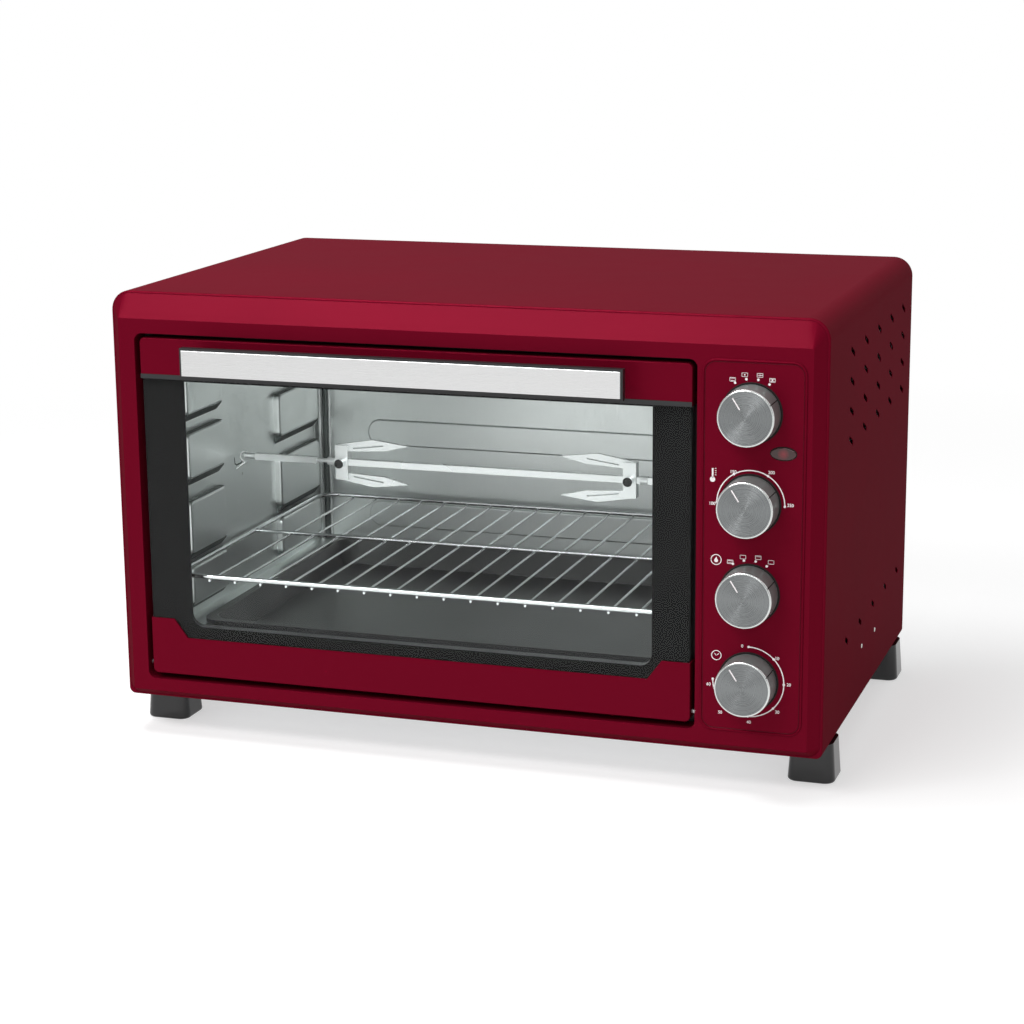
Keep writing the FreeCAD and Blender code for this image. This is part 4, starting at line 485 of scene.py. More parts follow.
def glowing_lens():
    """Red moulded plastic, with a painted glow that makes it lighter in the middle."""
    material, net, surface = new_material("red_lens")
    shader = principled(net, surface, LENS_EDGE, Roughness=0.22, Coat_Weight=0.3)
    place = net.add("ShaderNodeTexCoord").outputs["Object"]
    shift = net.add("ShaderNodeVectorMath", {0: place, 1: centre_of("indicator_lens")}, operation="SUBTRACT")
    away = net.add("ShaderNodeVectorMath", {0: shift.outputs[0]}, operation="LENGTH").outputs["Value"]
    shade_by(net, shader, net.ranged(away, GLOW_REACH, 0.0), LENS_EDGE, LENS_GLOW)
    return material


finishes["knob_metal"] = spun_metal()
finishes["red_lens"] = glowing_lens()
print("knob metal and lens mixed")

# %% Paint the CAD nodes
slot_of = {part["node"]: part["material_slot"] for part in frame["record"]["subparts"]}
for node, obj in frame["nodes"].items():
    obj.data.materials.clear()
    obj.data.materials.append(finishes[slot_of[node]])
# The spit and its forks take the near-white spit_steel: painted sheen.
for node in ("spit_rod", "spit_fork_left", "spit_fork_right"):
    frame["nodes"][node].data.materials[0] = finishes["spit_steel"]
print("painted", len(slot_of), "CAD nodes")

# %% [markdown]
# ## Growing pieces from a rule
# What repeats, turns round an axis or follows a path on the oven is made by Geometry Nodes: the
# spun knobs, the scales, beads, wires and screws. A tree holds the rule once, with its sizes as
# named inputs. Each use sets its own sizes and takes the finished mesh, without the modifier.

# %% Define how a tree is built and used
HALF_TURN = math.pi
QUARTER_TURN = math.pi / 2
TO_FRONT = (QUARTER_TURN, 0.0, 0.0)
MERGE = 0.001 * MM
SHARP_ANGLE = math.radians(30.0)


class Rule(Net):
    """A Geometry Nodes tree whose named inputs hold the sizes of one use."""

    def __init__(self, name, **inputs):
        super().__init__(bpy.data.node_groups.new(name, "GeometryNodeTree"))
        sockets = self.tree.interface
        sockets.new_socket("Geometry", in_out="OUTPUT", socket_type="NodeSocketGeometry")
        for kind, names in inputs.items():
            for socket in names.split(", "):
                sockets.new_socket(socket, in_out="INPUT", socket_type="NodeSocket" + kind)
        self.entry = self.add("NodeGroupInput").outputs
        self.leave = self.add("NodeGroupOutput").inputs

    def __getitem__(self, size):
        return self.entry[size]

    def made(self, kind, **values):
        """The first output of a geometry node with its inputs fed."""
        return self.add("GeometryNode" + kind, spaced(values)).outputs[0]

    def triple(self, x, y, z):
        """A vector from three numbers or outputs."""
        return self.add("ShaderNodeCombineXYZ", {0: x, 1: y, 2: z}).outputs[0]

    def joined(self, *parts):
        """Several geometries as one."""
        node = self.add("GeometryNodeJoinGeometry")
        for part in parts:
            self.feed(node.inputs[0], part)
        return node.outputs[0]

    def cut_away(self, form, *cutters):
        """A closed form without what the cutters hold."""
        node = self.add("GeometryNodeMeshBoolean", {"Mesh 1": form}, operation="DIFFERENCE", solver="EXACT")
        for cutter in cutters:
            self.feed(node.inputs["Mesh 2"], cutter)
        return node.outputs["Mesh"]

    def hand_out(self, form, finish=None):
        """Ends the tree in real geometry, in one finish where its parts have none."""
        form = self.made("RealizeInstances", Geometry=form)
        if finish is not None:
            form = self.made("SetMaterial", Geometry=form, Material=finish)
        self.feed(self.leave[0], form)
        print(self.tree.name, "has", len(self.tree.nodes), "nodes")
        return self.tree


def taken_from(holder):
    """What an object's curve or modifier makes, as a plain mesh that outlives the object."""
    mesh = bpy.data.meshes.new_from_object(holder.evaluated_get(bpy.context.evaluated_depsgraph_get()))
    bpy.data.objects.remove(holder)
    return mesh


def finish_mesh(mesh, name, body):
    """Closes a mesh, turns its faces outwards, smooths it and hangs it on a body."""
    form = bmesh.new()
    form.from_mesh(mesh)
    bmesh.ops.remove_doubles(form, verts=form.verts, dist=0.1 * MERGE)
    bmesh.ops.recalc_face_normals(form, faces=form.faces)
    form.to_mesh(mesh)
    form.free()
    mesh.shade_smooth()
    mesh.set_sharp_from_angle(angle=SHARP_ANGLE)
    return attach(placed(name, mesh), body)


def path_edges(count, closed=False):
    """The steps from point to point along one path."""
    return [(k, (k + 1) % count) for k in range(count if closed else count - 1)]


def grow(tree, name, body, points=(), edges=(), **values):
    """Runs a tree with its own sizes, on bare points or on paths through them, and keeps a plain mesh."""
    seed = bpy.data.meshes.new(name + "_points")
    seed.from_pydata([tuple(point) for point in points], edges, [])
    holder = placed(name + "_points", seed)
    modifier = holder.modifiers.new(tree.name, "NODES")
    modifier.node_group = tree
    sizes = spaced(values)
    for item in tree.interface.items_tree:
        if item.in_out == "INPUT" and item.name in sizes:
            modifier[item.identifier] = sizes.pop(item.name)
    assert not sizes, sizes
    return finish_mesh(taken_from(holder), name, body)


print("trees can be built")

# %% Define how a piece is built by hand


def solid_between(form, near, far):
    """A closed solid between two outlines with the same number of corners."""
    near, far = ([form.verts.new(place) for place in outline] for outline in (near, far))
    form.faces.new(near)
    form.faces.new(far[::-1])
    for a, b in path_edges(len(near), True):
        form.faces.new((near[a], near[b], far[b], far[a]))


def prism(form, corners, y0, y1):
    """A closed bar along the depth with these corners, as places across and up."""
    solid_between(form, *([(x, y, z) for x, z in corners] for y in (y0, y1)))


def rectangle(x0, x1, z0, z1):
    """The corners of a rectangle."""
    return [(x0, z0), (x1, z0), (x1, z1), (x0, z1)]


def arc(x, z, radius, first, last, steps):
    """Places along an arc round a middle, both ends included."""
    angles = [first + (last - first) * step / steps for step in range(steps + 1)]
    return [(x + radius * math.cos(angle), z + radius * math.sin(angle)) for angle in angles]


def hand_over(form, name, body, finish):
    """Makes a piece in one finish from a form."""
    mesh = bpy.data.meshes.new(name)
    form.to_mesh(mesh)
    form.free()
    mesh.materials.append(finishes[finish])
    return finish_mesh(mesh, name, body)


print("solids can be built")

# %% [markdown]
# ## The spun knobs
# Each knob is turned from metal on a lathe. Its face carries fine rings that throw light in
# two wedges, and its rim is polished. A lathe is a rule: one profile swept round a circle. The
# profile here is three lines, for the rings, the round rim and the shell with its bore. A slot
# is then cut down the side, its faces near black as painted shade. A thin white bar lies on the
# face as the pointer, a painted highlight where the engraved pointer line catches the light.

# %% Build the knob tree
LATHE_CIRCLE = 10 * MM
RING_STEPS = 8
RIM_STEPS = 6


def profile_line(rule, count, radius, depth):
    """A line of points, each at its own radius and depth behind the face."""
    place = rule.triple(rule.maths("SUBTRACT", radius, LATHE_CIRCLE), depth, 0.0)
    return rule.made("SetPosition", Geometry=rule.made("MeshLine", Count=count), Position=place)


def ring_line(rule, index, flat):
    """The face, from its middle outwards, in even waves."""
    count = rule.maths("MULTIPLY", rule["Rings"], RING_STEPS)
    share = rule.maths("DIVIDE", index, count)
    turns = rule.maths("MULTIPLY", rule.maths("MULTIPLY", share, rule["Rings"]), 2 * math.pi)
    wave = rule.maths("SUBTRACT", 1.0, rule.maths("COSINE", turns))
    depth = rule.maths("MULTIPLY", wave, rule.maths("MULTIPLY", rule["Ring depth"], 0.5))
    return profile_line(rule, rule.maths("ADD", count, 1.0), rule.maths("MULTIPLY", share, flat), depth)


def rim_line(rule, index, flat):
    """The quarter round between the face and the side."""
    angle = rule.maths("MULTIPLY", index, QUARTER_TURN / RIM_STEPS)
    outwards = rule.maths("MULTIPLY", rule["Rim"], rule.maths("SINE", angle))
    drop = rule.maths("SUBTRACT", 1.0, rule.maths("COSINE", angle))
    return profile_line(rule, RIM_STEPS + 1, rule.maths("ADD", flat, outwards),
                        rule.maths("MULTIPLY", rule["Rim"], drop))


def shell_line(rule, index):
    """The side, the back and the bore, as five corners picked by their number."""
    corners = ((rule["Face radius"], rule["Rim"]), (rule["Back radius"], rule["Back"]),
               (rule["Bore radius"], rule["Back"]), (rule["Bore radius"], rule["Bore end"]),
               (0.0, rule["Bore end"]))
    chosen = []
    for column in zip(*corners):
        picker = rule.add("GeometryNodeIndexSwitch", data_type="FLOAT")
        for _ in corners[2:]:
            picker.index_switch_items.new()
        for socket, value in enumerate((index, *column)):
            rule.feed(picker.inputs[socket], value)
        chosen.append(picker.outputs[0])
    return profile_line(rule, len(corners), *chosen)


def turned_bar(rule, size, radius, angle, finish):
    """A box that lies along a radius of the knob, turned to its angle from the top."""
    bar = rule.made("MeshCube", Size=size)
    bar = rule.made("Transform", Geometry=bar, Translation=rule.triple(radius, 0.0, 0.0))
    turn = rule.triple(0.0, 0.0, rule.maths("SUBTRACT", QUARTER_TURN, angle))
    bar = rule.made("Transform", Geometry=bar, Rotation=turn)
    return rule.made("SetMaterial", Geometry=bar, Material=finish)


def make_knob_tree():
    rule = Rule("spun_knob", Vector="Place", Int="Rings, Segments", Float=(
        "Face radius, Back radius, Rim, Back, Bore radius, Bore end, Ring depth, Slot angle, Slot width, "
        "Slot depth, Pointer angle, Pointer start, Pointer end, Pointer width, Pointer height"),
        Material="Metal, Polish, Side, Shade, White")
    index = rule.made("InputIndex")
    flat = rule.maths("SUBTRACT", rule["Face radius"], rule["Rim"])
    lines = rule.joined(ring_line(rule, index, flat), rim_line(rule, index, flat), shell_line(rule, index))
    lines = rule.made("MergeByDistance", Geometry=lines, Distance=MERGE)
    profile = rule.made("MeshToCurve", Mesh=lines)
    circle = rule.made("CurvePrimitiveCircle", Resolution=rule["Segments"], Radius=LATHE_CIRCLE)
    turned = rule.made("CurveToMesh", Curve=circle, Profile_Curve=profile)
    turned = rule.made("MergeByDistance", Geometry=turned, Distance=MERGE)
    place = rule.add("ShaderNodeSeparateXYZ", {0: rule.made("InputPosition")}).outputs
    squares = [rule.maths("MULTIPLY", place[axis], place[axis]) for axis in "XY"]
    radius = rule.maths("SQRT", rule.maths("ADD", *squares))
    turned = rule.made("StoreNamedAttribute", Geometry=turned, Name="ring_radius", Value=radius)
    outer = rule.maths("GREATER_THAN", radius, flat)
    front = rule.maths("GREATER_THAN", place["Z"], rule.maths("MULTIPLY", rule["Rim"], -1.0))
    rim = rule.maths("MULTIPLY", outer, front)
    for finish, where in (("Metal", True), ("Side", outer), ("Polish", rim)):
        turned = rule.made("SetMaterial", Geometry=turned, Material=rule[finish], Selection=where)
    # The slot's faces take the Shade finish, which is near black: painted shade.
    slot_size = rule.triple(rule.maths("MULTIPLY", rule["Slot depth"], 2.0), rule["Slot width"],
                            rule.maths("MULTIPLY", rule["Back"], 4.0))
    slot = turned_bar(rule, slot_size, rule["Back radius"], rule["Slot angle"], rule["Shade"])
    # The pointer bar takes the Glint finish, a white print that stands as painted highlight of the engraved
    # pointer line.
    start, end = rule["Pointer start"], rule["Pointer end"]
    pointer_size = rule.triple(rule.maths("SUBTRACT", end, start), rule["Pointer width"],
                               rule.maths("MULTIPLY", rule["Pointer height"], 2.0))
    middle = rule.maths("MULTIPLY", rule.maths("ADD", end, start), 0.5)
    pointer = turned_bar(rule, pointer_size, middle, rule["Pointer angle"], rule["White"])
    knob = rule.joined(rule.cut_away(turned, slot), pointer)
    return rule.hand_out(rule.made("Transform", Geometry=knob, Rotation=TO_FRONT, Translation=rule["Place"]))


KNOB_TREE = make_knob_tree()

# %% Turn the four knobs
BORE_PLAY = 0.05 * MM
# Each knob's pointer is white print as painted highlight, and its slot is near black as painted shade.
for knob in KNOBS:
    knob_low, knob_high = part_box(knob + "_knob")
    shaft_low, shaft_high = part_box(knob + "_shaft")
    middle = centre_of(knob + "_shaft")
    piece = grow(KNOB_TREE, knob + "_spun_knob", knob + "_control", Place=(middle.x, knob_low.y, middle.z),
                 Face_radius=20.0 * MM, Back_radius=(knob_high.x - knob_low.x) / 2, Rim=1.3 * MM,
                 Back=knob_high.y - knob_low.y, Bore_radius=(shaft_high.x - shaft_low.x) / 2 + BORE_PLAY,
                 Bore_end=shaft_low.y - knob_low.y, Rings=20, Ring_depth=0.13 * MM, Segments=96,
                 Slot_angle=math.radians(60), Slot_width=0.7 * MM, Slot_depth=0.8 * MM,
                 Pointer_angle=math.radians(-33), Pointer_start=7.0 * MM, Pointer_end=16.5 * MM,
                 Pointer_width=0.9 * MM, Pointer_height=0.06 * MM, Metal=finishes["knob_metal"],
                 Polish=finishes["knob_rim"], Side=finishes["knob_side"], Shade=finishes["slot_shade"],
                 White=finishes["white_print"])
    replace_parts(piece, knob + "_knob")
    print(piece.name, "has", len(piece.data.polygons), "faces")

# %% [markdown]
# ## The scales round the knobs
# The scales are printed in white on the red panel. On the oven they are ink, so each becomes
# a closed layer a twentieth of a millimetre proud. An arc with dots at even steps is again a
# rule, and one tree makes all four.

# %% Build the scale tree
INK = 0.05 * MM


def make_scale_tree():
    rule = Rule("dial_scale", Vector="Place", Bool="Line shown", Int="Dots", Material="Material",
                Float="Radius, First angle, Last angle, Line width, Dot radius, Ink")
    arc_line = rule.made("CurveArc", Resolution=64, Radius=rule["Radius"],
                         Start_Angle=rule.maths("SUBTRACT", QUARTER_TURN, rule["Last angle"]),
                         Sweep_Angle=rule.maths("SUBTRACT", rule["Last angle"], rule["First angle"]))
    thick = rule.maths("MULTIPLY", rule["Ink"], 2.0)
    section = rule.made("CurvePrimitiveQuadrilateral", Width=rule["Line width"], Height=thick)
    line = rule.made("CurveToMesh", Curve=arc_line, Profile_Curve=section, Fill_Caps=True)
    shown = rule.add("GeometryNodeSwitch", {"Switch": rule["Line shown"], "True": line}).outputs[0]
    spots = rule.made("ResampleCurve", Curve=arc_line, Count=rule["Dots"])
    dot = rule.made("MeshCylinder", Vertices=20, Radius=rule["Dot radius"],
                    Depth=rule.maths("MULTIPLY", thick, 1.1))
    dots = rule.made("RealizeInstances", Geometry=rule.made("InstanceOnPoints", Points=spots, Instance=dot))
    scale = rule.made("Transform", Geometry=rule.joined(shown, dots), Rotation=TO_FRONT,
                      Translation=rule["Place"])
    return rule.hand_out(scale, rule["Material"])


SCALE_TREE = make_scale_tree()

# %% Print the four scales
SCALES = {
    # knob: (radius, first angle, last angle, dots, has a line)
    "mode": (23.9, -30, 30, 4, False),
    "temperature": (23.9, -90, 90, 4, True),
    "function": (23.9, -30, 30, 4, False),
    "timer": (25.4, 0, 270, 7, True),
}


def on_panel(knob, across=0.0, up=0.0):
    """A place on the panel's face, in millimetres right of and above a knob's axis."""
    middle = centre_of(knob + "_shaft")
    return Vector((middle.x + across * MM, panel_face, middle.z + up * MM))


for knob, (radius, first, last, dots, has_line) in SCALES.items():
    piece = grow(SCALE_TREE, knob + "_scale", "oven", Place=on_panel(knob), Radius=radius * MM,
                 First_angle=math.radians(first), Last_angle=math.radians(last), Line_width=0.8 * MM,
                 Line_shown=has_line, Dots=dots, Dot_radius=0.9 * MM, Ink=INK,
                 Material=finishes["white_print"])
print(len(SCALES), "scales printed")

# %% [markdown]
# ## Numbers and small pictures
# The numbers on the two scales are set in Blender's own plain font and turned into closed
# meshes. The pictures tell what a switch position does: which rods glow, heat, and time. They
# are drawn from bars, rings and discs of ink.

# %% Print the numbers
NUMBERS = {
    "temperature": {"100": (-27.2, -1.0), "150": (-12.5, 22.2), "200": (14.3, 23.2), "250": (27.9, 1.0)},
    "timer": {"0": (-4.6, 25.6), "10": (20.3, 18.6), "20": (28.9, 0.2), "30": (21.0, -20.4),
              "40": (0.8, -29.6), "50": (-19.9, -24.2), "60": (-28.4, -4.2)},
}
NUMBER_HEIGHT = 3.1 * MM
LINE_SPREAD = 0.06 * MM


def mesh_of_curve(curve):
    """A curve as a mesh, turned from lying flat to facing the front."""
    mesh = taken_from(placed(curve.name, curve))
    mesh.transform(Matrix.Rotation(QUARTER_TURN, 4, "X"))
    return mesh


def lettering(text):
    """A text's outline as a mesh, centred and as thick as ink on both sides of the panel's face."""
    curve = bpy.data.curves.new("number", "FONT")
    curve.body = text
    curve.size = NUMBER_HEIGHT
    curve.extrude = INK
    curve.offset = LINE_SPREAD
    curve.align_x = curve.align_y = "CENTER"
    return mesh_of_curve(curve)


def print_numbers():
    form = bmesh.new()
    for knob, numbers in NUMBERS.items():
        for text, (across, up) in numbers.items():
            mesh = lettering(text)
            mesh.transform(Matrix.Translation(on_panel(knob, across, up)))
            form.from_mesh(mesh)
    hand_over(form, "dial_numbers", "oven", "white_print")


print_numbers()
print(sum(len(numbers) for numbers in NUMBERS.values()), "numbers printed")

# %% Define how a picture is drawn in ink
ink = bmesh.new()


def draw(knob, corners, x=0.0, z=0.0):
    """A closed flat shape of ink round a place, in millimetres from a knob's axis."""
    face = [on_panel(knob, x + across, z + up) for across, up in corners]
    lift = Vector((0, INK, 0))
    solid_between(ink, [place - lift for place in face], [place + lift for place in face])


def draw_bar(knob, x, z, width, height):
    """An upright box of ink round its middle."""
    draw(knob, rectangle(-width / 2, width / 2, -height / 2, height / 2), x, z)


def draw_disc(knob, x, z, radius, sides=20):
    """A round spot of ink."""
    draw(knob, arc(x, z, radius, 0.0, 2 * math.pi, sides)[:-1])


def draw_hoop(knob, x, z, radius, width=0.55, sides=32):
    """A ring of ink, as short bars that meet end to end."""
    inner, outer = (arc(x, z, radius + half, 0.0, 2 * math.pi, sides) for half in (-width / 2, width / 2))
    for k in range(sides):
        draw(knob, [inner[k], outer[k], outer[k + 1], inner[k + 1]])


print("ink can be drawn")

# %% Draw the pictures
BOX_W, BOX_H, STROKE, LINE = 4.3, 2.9, 0.4, 0.32
RODS, UPPER_ROD, SPIT = (-0.7, 0.7), (0.6,), (0.0,)
OVENS = (
    # (knob, across, up, heights of the bars in the oven, radius of the spot in it)
    ("mode", -13.7, 23.0, RODS, 0.0), ("mode", -5.3, 26.5, (), 0.55), ("mode", 5.3, 26.6, SPIT, 0.5),
    ("mode", 13.9, 23.6, RODS, 0.55), ("function", -13.9, 22.0, RODS, 0.0), ("function", -4.9, 26.0, (), 0.0),
    ("function", 5.9, 26.4, UPPER_ROD, 0.0), ("function", 15.0, 23.7, (), 0.0))
HEAT_PLACE, FLAME_PLACE, CLOCK_PLACE = (-27.0, 16.2), (-23.9, 22.9), (-23.0, 17.5)
FLAME = ((0.0, -2.0), (1.0, -1.6), (1.4, -0.7), (1.0, 0.3), (0.5, 0.9), (0.3, 2.1), (-0.6, 1.0), (-1.1, 0.2),
         (-1.4, -0.7), (-1.0, -1.6))
HANDS = (((-0.2, -0.3), (0.2, -0.3), (2.1, 1.3), (1.8, 1.6)),
         ((-0.2, -0.3), (0.3, -0.2), (-1.3, 1.5), (-1.6, 1.2)))


def draw_oven(knob, x, z, levels, spot):
    """A small oven seen from the front, with what works in it."""
    for side in (-1, 1):
        draw_bar(knob, x + side * (BOX_W - LINE) / 2, z, LINE, BOX_H)
        draw_bar(knob, x, z + side * (BOX_H - LINE) / 2, BOX_W, LINE)
    for level in levels:
        draw_bar(knob, x, z + level * (BOX_H / 2 - STROKE), BOX_W - 3 * STROKE, LINE)
    if spot:
        draw_disc(knob, x, z, spot, 12)


def draw_thermometer(x, z, bulb=1.9, tube=(1.2, 6.6), tick=(1.1, 0.4), step=1.5):
    """A tube on a bulb, with four ticks beside it."""
    draw_bar("temperature", x, z + 4.4, *tube)
    draw_disc("temperature", x, z, bulb)
    for k in range(4):
        draw_bar("temperature", x + 2.1, z + 3.2 + step * k, *tick)


for picture in OVENS:
    draw_oven(*picture)
draw_thermometer(*HEAT_PLACE)
draw_hoop("function", *FLAME_PLACE, 3.6)
draw("function", FLAME, *FLAME_PLACE)
draw_hoop("timer", *CLOCK_PLACE, 3.4)
for hand in HANDS:
    draw("timer", hand, *CLOCK_PLACE)
hand_over(ink, "dial_pictures", "oven", "white_print")
print(len(OVENS), "switch pictures drawn, and heat and time")

# %% [markdown]
# ## The raised edge of the panel
# The control panel is framed by a thin raised bead, which catches a bright line. The dark line
# just inside it is a thin dark bead of painted shade. A round swept along the panel's outline is
# a path rule, so a tree makes it. The same tree lays the painted shadow rings round the lens and
# the knobs, and the hems in the cavity.

# %% Build the bead tree


def make_bead_tree():
    rule = Rule("bead_on_path", Geometry="Points", Float="Bead radius, Flatness", Int="Sides", Bool="Capped",
                Material="Material")
    path = rule.made("MeshToCurve", Mesh=rule["Points"])
    section = rule.made("CurvePrimitiveCircle", Resolution=rule["Sides"], Radius=rule["Bead radius"])
    section = rule.made("Transform", Geometry=section, Scale=rule.triple(1.0, rule["Flatness"], 1.0))
    bead = rule.made("CurveToMesh", Curve=path, Profile_Curve=section, Fill_Caps=rule["Capped"])
    return rule.hand_out(bead, rule["Material"])


BEAD_TREE = make_bead_tree()


def sweep(name, body, points, radius, finish, slot, closed=False, edges=None, flatness=1.0, sides=16):
    """A bead or wire of one thickness along one or more paths, capped where a path has ends."""
    piece = grow(BEAD_TREE, name, body, points=points, edges=edges or path_edges(len(points), closed),
                 Bead_radius=radius * MM, Flatness=flatness, Sides=sides, Capped=not closed,
                 Material=finishes[finish])
    return piece


def rounded_outline(x0, x1, z0, z1, radius, y, steps=8):
    """The points of a rectangle with round corners, facing the front."""
    corners = ((x1 - radius, z1 - radius), (x0 + radius, z1 - radius), (x0 + radius, z0 + radius),
               (x1 - radius, z0 + radius))
    return [(across, y, up) for quarter, (x, z) in enumerate(corners)
            for across, up in arc(x, z, radius, quarter * QUARTER_TURN, (quarter + 1) * QUARTER_TURN, steps)]


def oval_outline(low, high, y, steps=40):
    """The points of an oval that fills a box, facing the front."""
    middle, half = (low + high) / 2, (high - low) / 2
    return [(middle.x + half.x * across, y, middle.z + half.z * up)
            for across, up in arc(0.0, 0.0, 1.0, 0.0, 2 * math.pi, steps)[:-1]]


# %% Lay the beads on the panel
PANEL_CORNER, SHADE_LINE_INSET, KNOB_SHADOW_R = 9.0 * MM, 1.3 * MM, 20.6 * MM
lens_low, lens_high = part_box("indicator_lens")


def panel_outline(inset, y):
    """The panel's own outline, moved inwards."""
    return rounded_outline(panel_low.x + inset, panel_high.x - inset, panel_low.z + inset,
                           panel_high.z - inset, PANEL_CORNER - inset, y)


# panel_shade_line is a thin dark bead inside the panel's edge: painted shade.
BEADS = {
    # name: (outline, bead radius, flatness, finish, slot)
    "panel_bead": (panel_outline(0.0, bezel_low.y), 1.0, 1.0, "red_paint", "red_paint"),
    "panel_shade_line": (panel_outline(SHADE_LINE_INSET, panel_face), 0.3, 0.3, "groove_shade", "red_paint"),
    "lens_shadow_ring": (oval_outline(lens_low, lens_high, panel_face), 0.5, 0.8, "slot_shade", "black_plastic"),
}
# A near-black ring round the lens and round each knob is painted shadow.
for knob in KNOBS:
    middle, reach = centre_of(knob + "_shaft"), Vector((KNOB_SHADOW_R, 0.0, KNOB_SHADOW_R))
    BEADS[knob + "_shadow_ring"] = (oval_outline(middle - reach, middle + reach, panel_face), 1.1, 0.35, "slot_shade",
                            "black_plastic")
for name, (outline, radius, flatness, finish, slot) in BEADS.items():
    sweep(name, "oven", outline, radius, finish, slot, closed=True, flatness=flatness, sides=12)
    print(name, "follows", len(outline), "points")

# %% Fold the hems in the cavity's rear corners
wall_left, wall_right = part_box("liner_floor")[0].x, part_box("liner_floor")[1].x
cavity_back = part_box("liner_left")[1].y
HEM_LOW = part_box("liner_floor")[1].z + 24.0 * MM
HEM_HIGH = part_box("liner_top")[0].z - 0.5 * MM
# The corner and back hems are in near-white spit_steel as painted highlight, and fold_shade is a dark band of
# painted shade between them.
HEMS = {
    # name: (distance from the side wall, distance from the back, bead radius, finish)
    "wall_hem": (0.0, 12.9, 1.2, "cavity_steel"),
    "corner_hem_highlight": (0.8, 0.8, 1.5, "spit_steel"),
    "fold_shade": (5.2, -1.6, 3.2, "shaded_steel"),
    "back_hem_highlight": (9.4, 0.0, 1.3, "spit_steel"),
}
for name, (inwards, forwards, radius, finish) in HEMS.items():
    for side, wall, sign in (("left", wall_left, 1), ("right", wall_right, -1)):
        x, y = wall + sign * inwards * MM, cavity_back - forwards * MM
        sweep(name + "_" + side, "oven", [(x, y, HEM_LOW), (x, y, HEM_HIGH)], radius, finish, "cavity_steel")
print(2 * len(HEMS), "hems folded")

# %% [markdown]
# ## Painted shade on the pressed blocks
# The blocks in the side walls are pressed with a flat ledge on top and a slope underneath, and
# both look dark against the bright wall. That dark is painted shade: thin dark prisms along the
# depth of the oven lie on each ledge and each slope.

# %% Slope the undersides of the blocks
BLOCK_RISE, SLOPE_RUN, LEDGE_T, EDGE_INSET = 5.5 * MM, 6.5 * MM, 0.15 * MM, 1.0 * MM
BLOCK_DEPTHS = ((-116.1, -52.1), (54.9, 136.9))
BLOCK_LOW = 93.8 * MM
SEAT_DROP = 5.3 * MM
BLOCK_SHARES = ((0.055, 0.288), (0.383, 0.585), (0.664, 0.871))


def slope_blocks():
    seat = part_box("wire_rack")[1].z - SEAT_DROP
    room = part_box("liner_left")[1].z - seat
    levels = [(BLOCK_LOW, seat)] + [(seat + low * room, seat + high * room) for low, high in BLOCK_SHARES]
    form = bmesh.new()
    for wall, inward in ((wall_left, 1), (wall_right, -1)):
        crown = wall + inward * BLOCK_RISE
        for y0, y1 in BLOCK_DEPTHS:
            ends = y0 * MM + EDGE_INSET, y1 * MM - EDGE_INSET
            for low, high in levels:
                prism(form, [(wall, low + EDGE_INSET), (crown, low + EDGE_INSET), (crown, low),
                             (wall, low - SLOPE_RUN)], *ends)
                prism(form, rectangle(wall, crown, high, high + LEDGE_T), *ends)
    # The prisms are dark steel: painted shade on the ledges and under the blocks.
    hand_over(form, "block_edge_shade", "oven", "shaded_steel")


slope_blocks()
print("block edges laid on", len(BLOCK_SHARES) + 1, "levels")

# %% [markdown]
# ## The rack's wires and the spit's hook
# The rack is welded from thin chromed wire: a closed rail, a bar across the middle and wires
# under both. The spit's left end lies in a curled hook. All of it is wire swept along paths,
# so the bead tree makes it too.

# %% Bend the rack's wires
RAIL_R, MIDDLE_R, CROSS_R, WELD = 1.9, 1.5, 1.0, 0.4
RAIL_DROP = 5.0
RACK_CORNER = 20.0 * MM
MIDDLE_SHARE = 0.51
CROSS_WIRES = 17
CROSS_INSET = 31.3 * MM


def bend_rack():
    box_low, box_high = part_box("wire_rack")
    edge = Vector((RAIL_R * MM, RAIL_R * MM, 0.0))
    low, high = box_low + edge, box_high - edge
    z = high.z - (RAIL_DROP - RAIL_R) * MM
    rail = [(x, y, z) for x, _, y in rounded_outline(low.x, high.x, low.y, high.y, RACK_CORNER, 0.0)]
    middle = low.y + (high.y - low.y) * MIDDLE_SHARE
    wire_z = z - (RAIL_R + CROSS_R - WELD) * MM
    first, last = box_low.x + CROSS_INSET, box_high.x - CROSS_INSET
    cross = []
    for k in range(CROSS_WIRES):
        x = first + (last - first) * k / (CROSS_WIRES - 1)
        cross += [(x, box_low.y, wire_z), (x, high.y, wire_z)]
    pairs = [(k, k + 1) for k in range(0, len(cross), 2)]
    wires = {
        "rack_rail": (rail, RAIL_R, dict(closed=True)),
        "rack_middle_bar": ([(low.x, middle, z), (high.x, middle, z)], MIDDLE_R, {}),
        "rack_cross_wires": (cross, CROSS_R, dict(edges=pairs, sides=12)),
    }
    for name, (points, radius, kind) in wires.items():
        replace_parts(sweep(name, "rack", points, radius, "chrome_wire", "chrome_wire", **kind), "wire_rack")


bend_rack()
print(CROSS_WIRES, "cross wires welded under the rail")

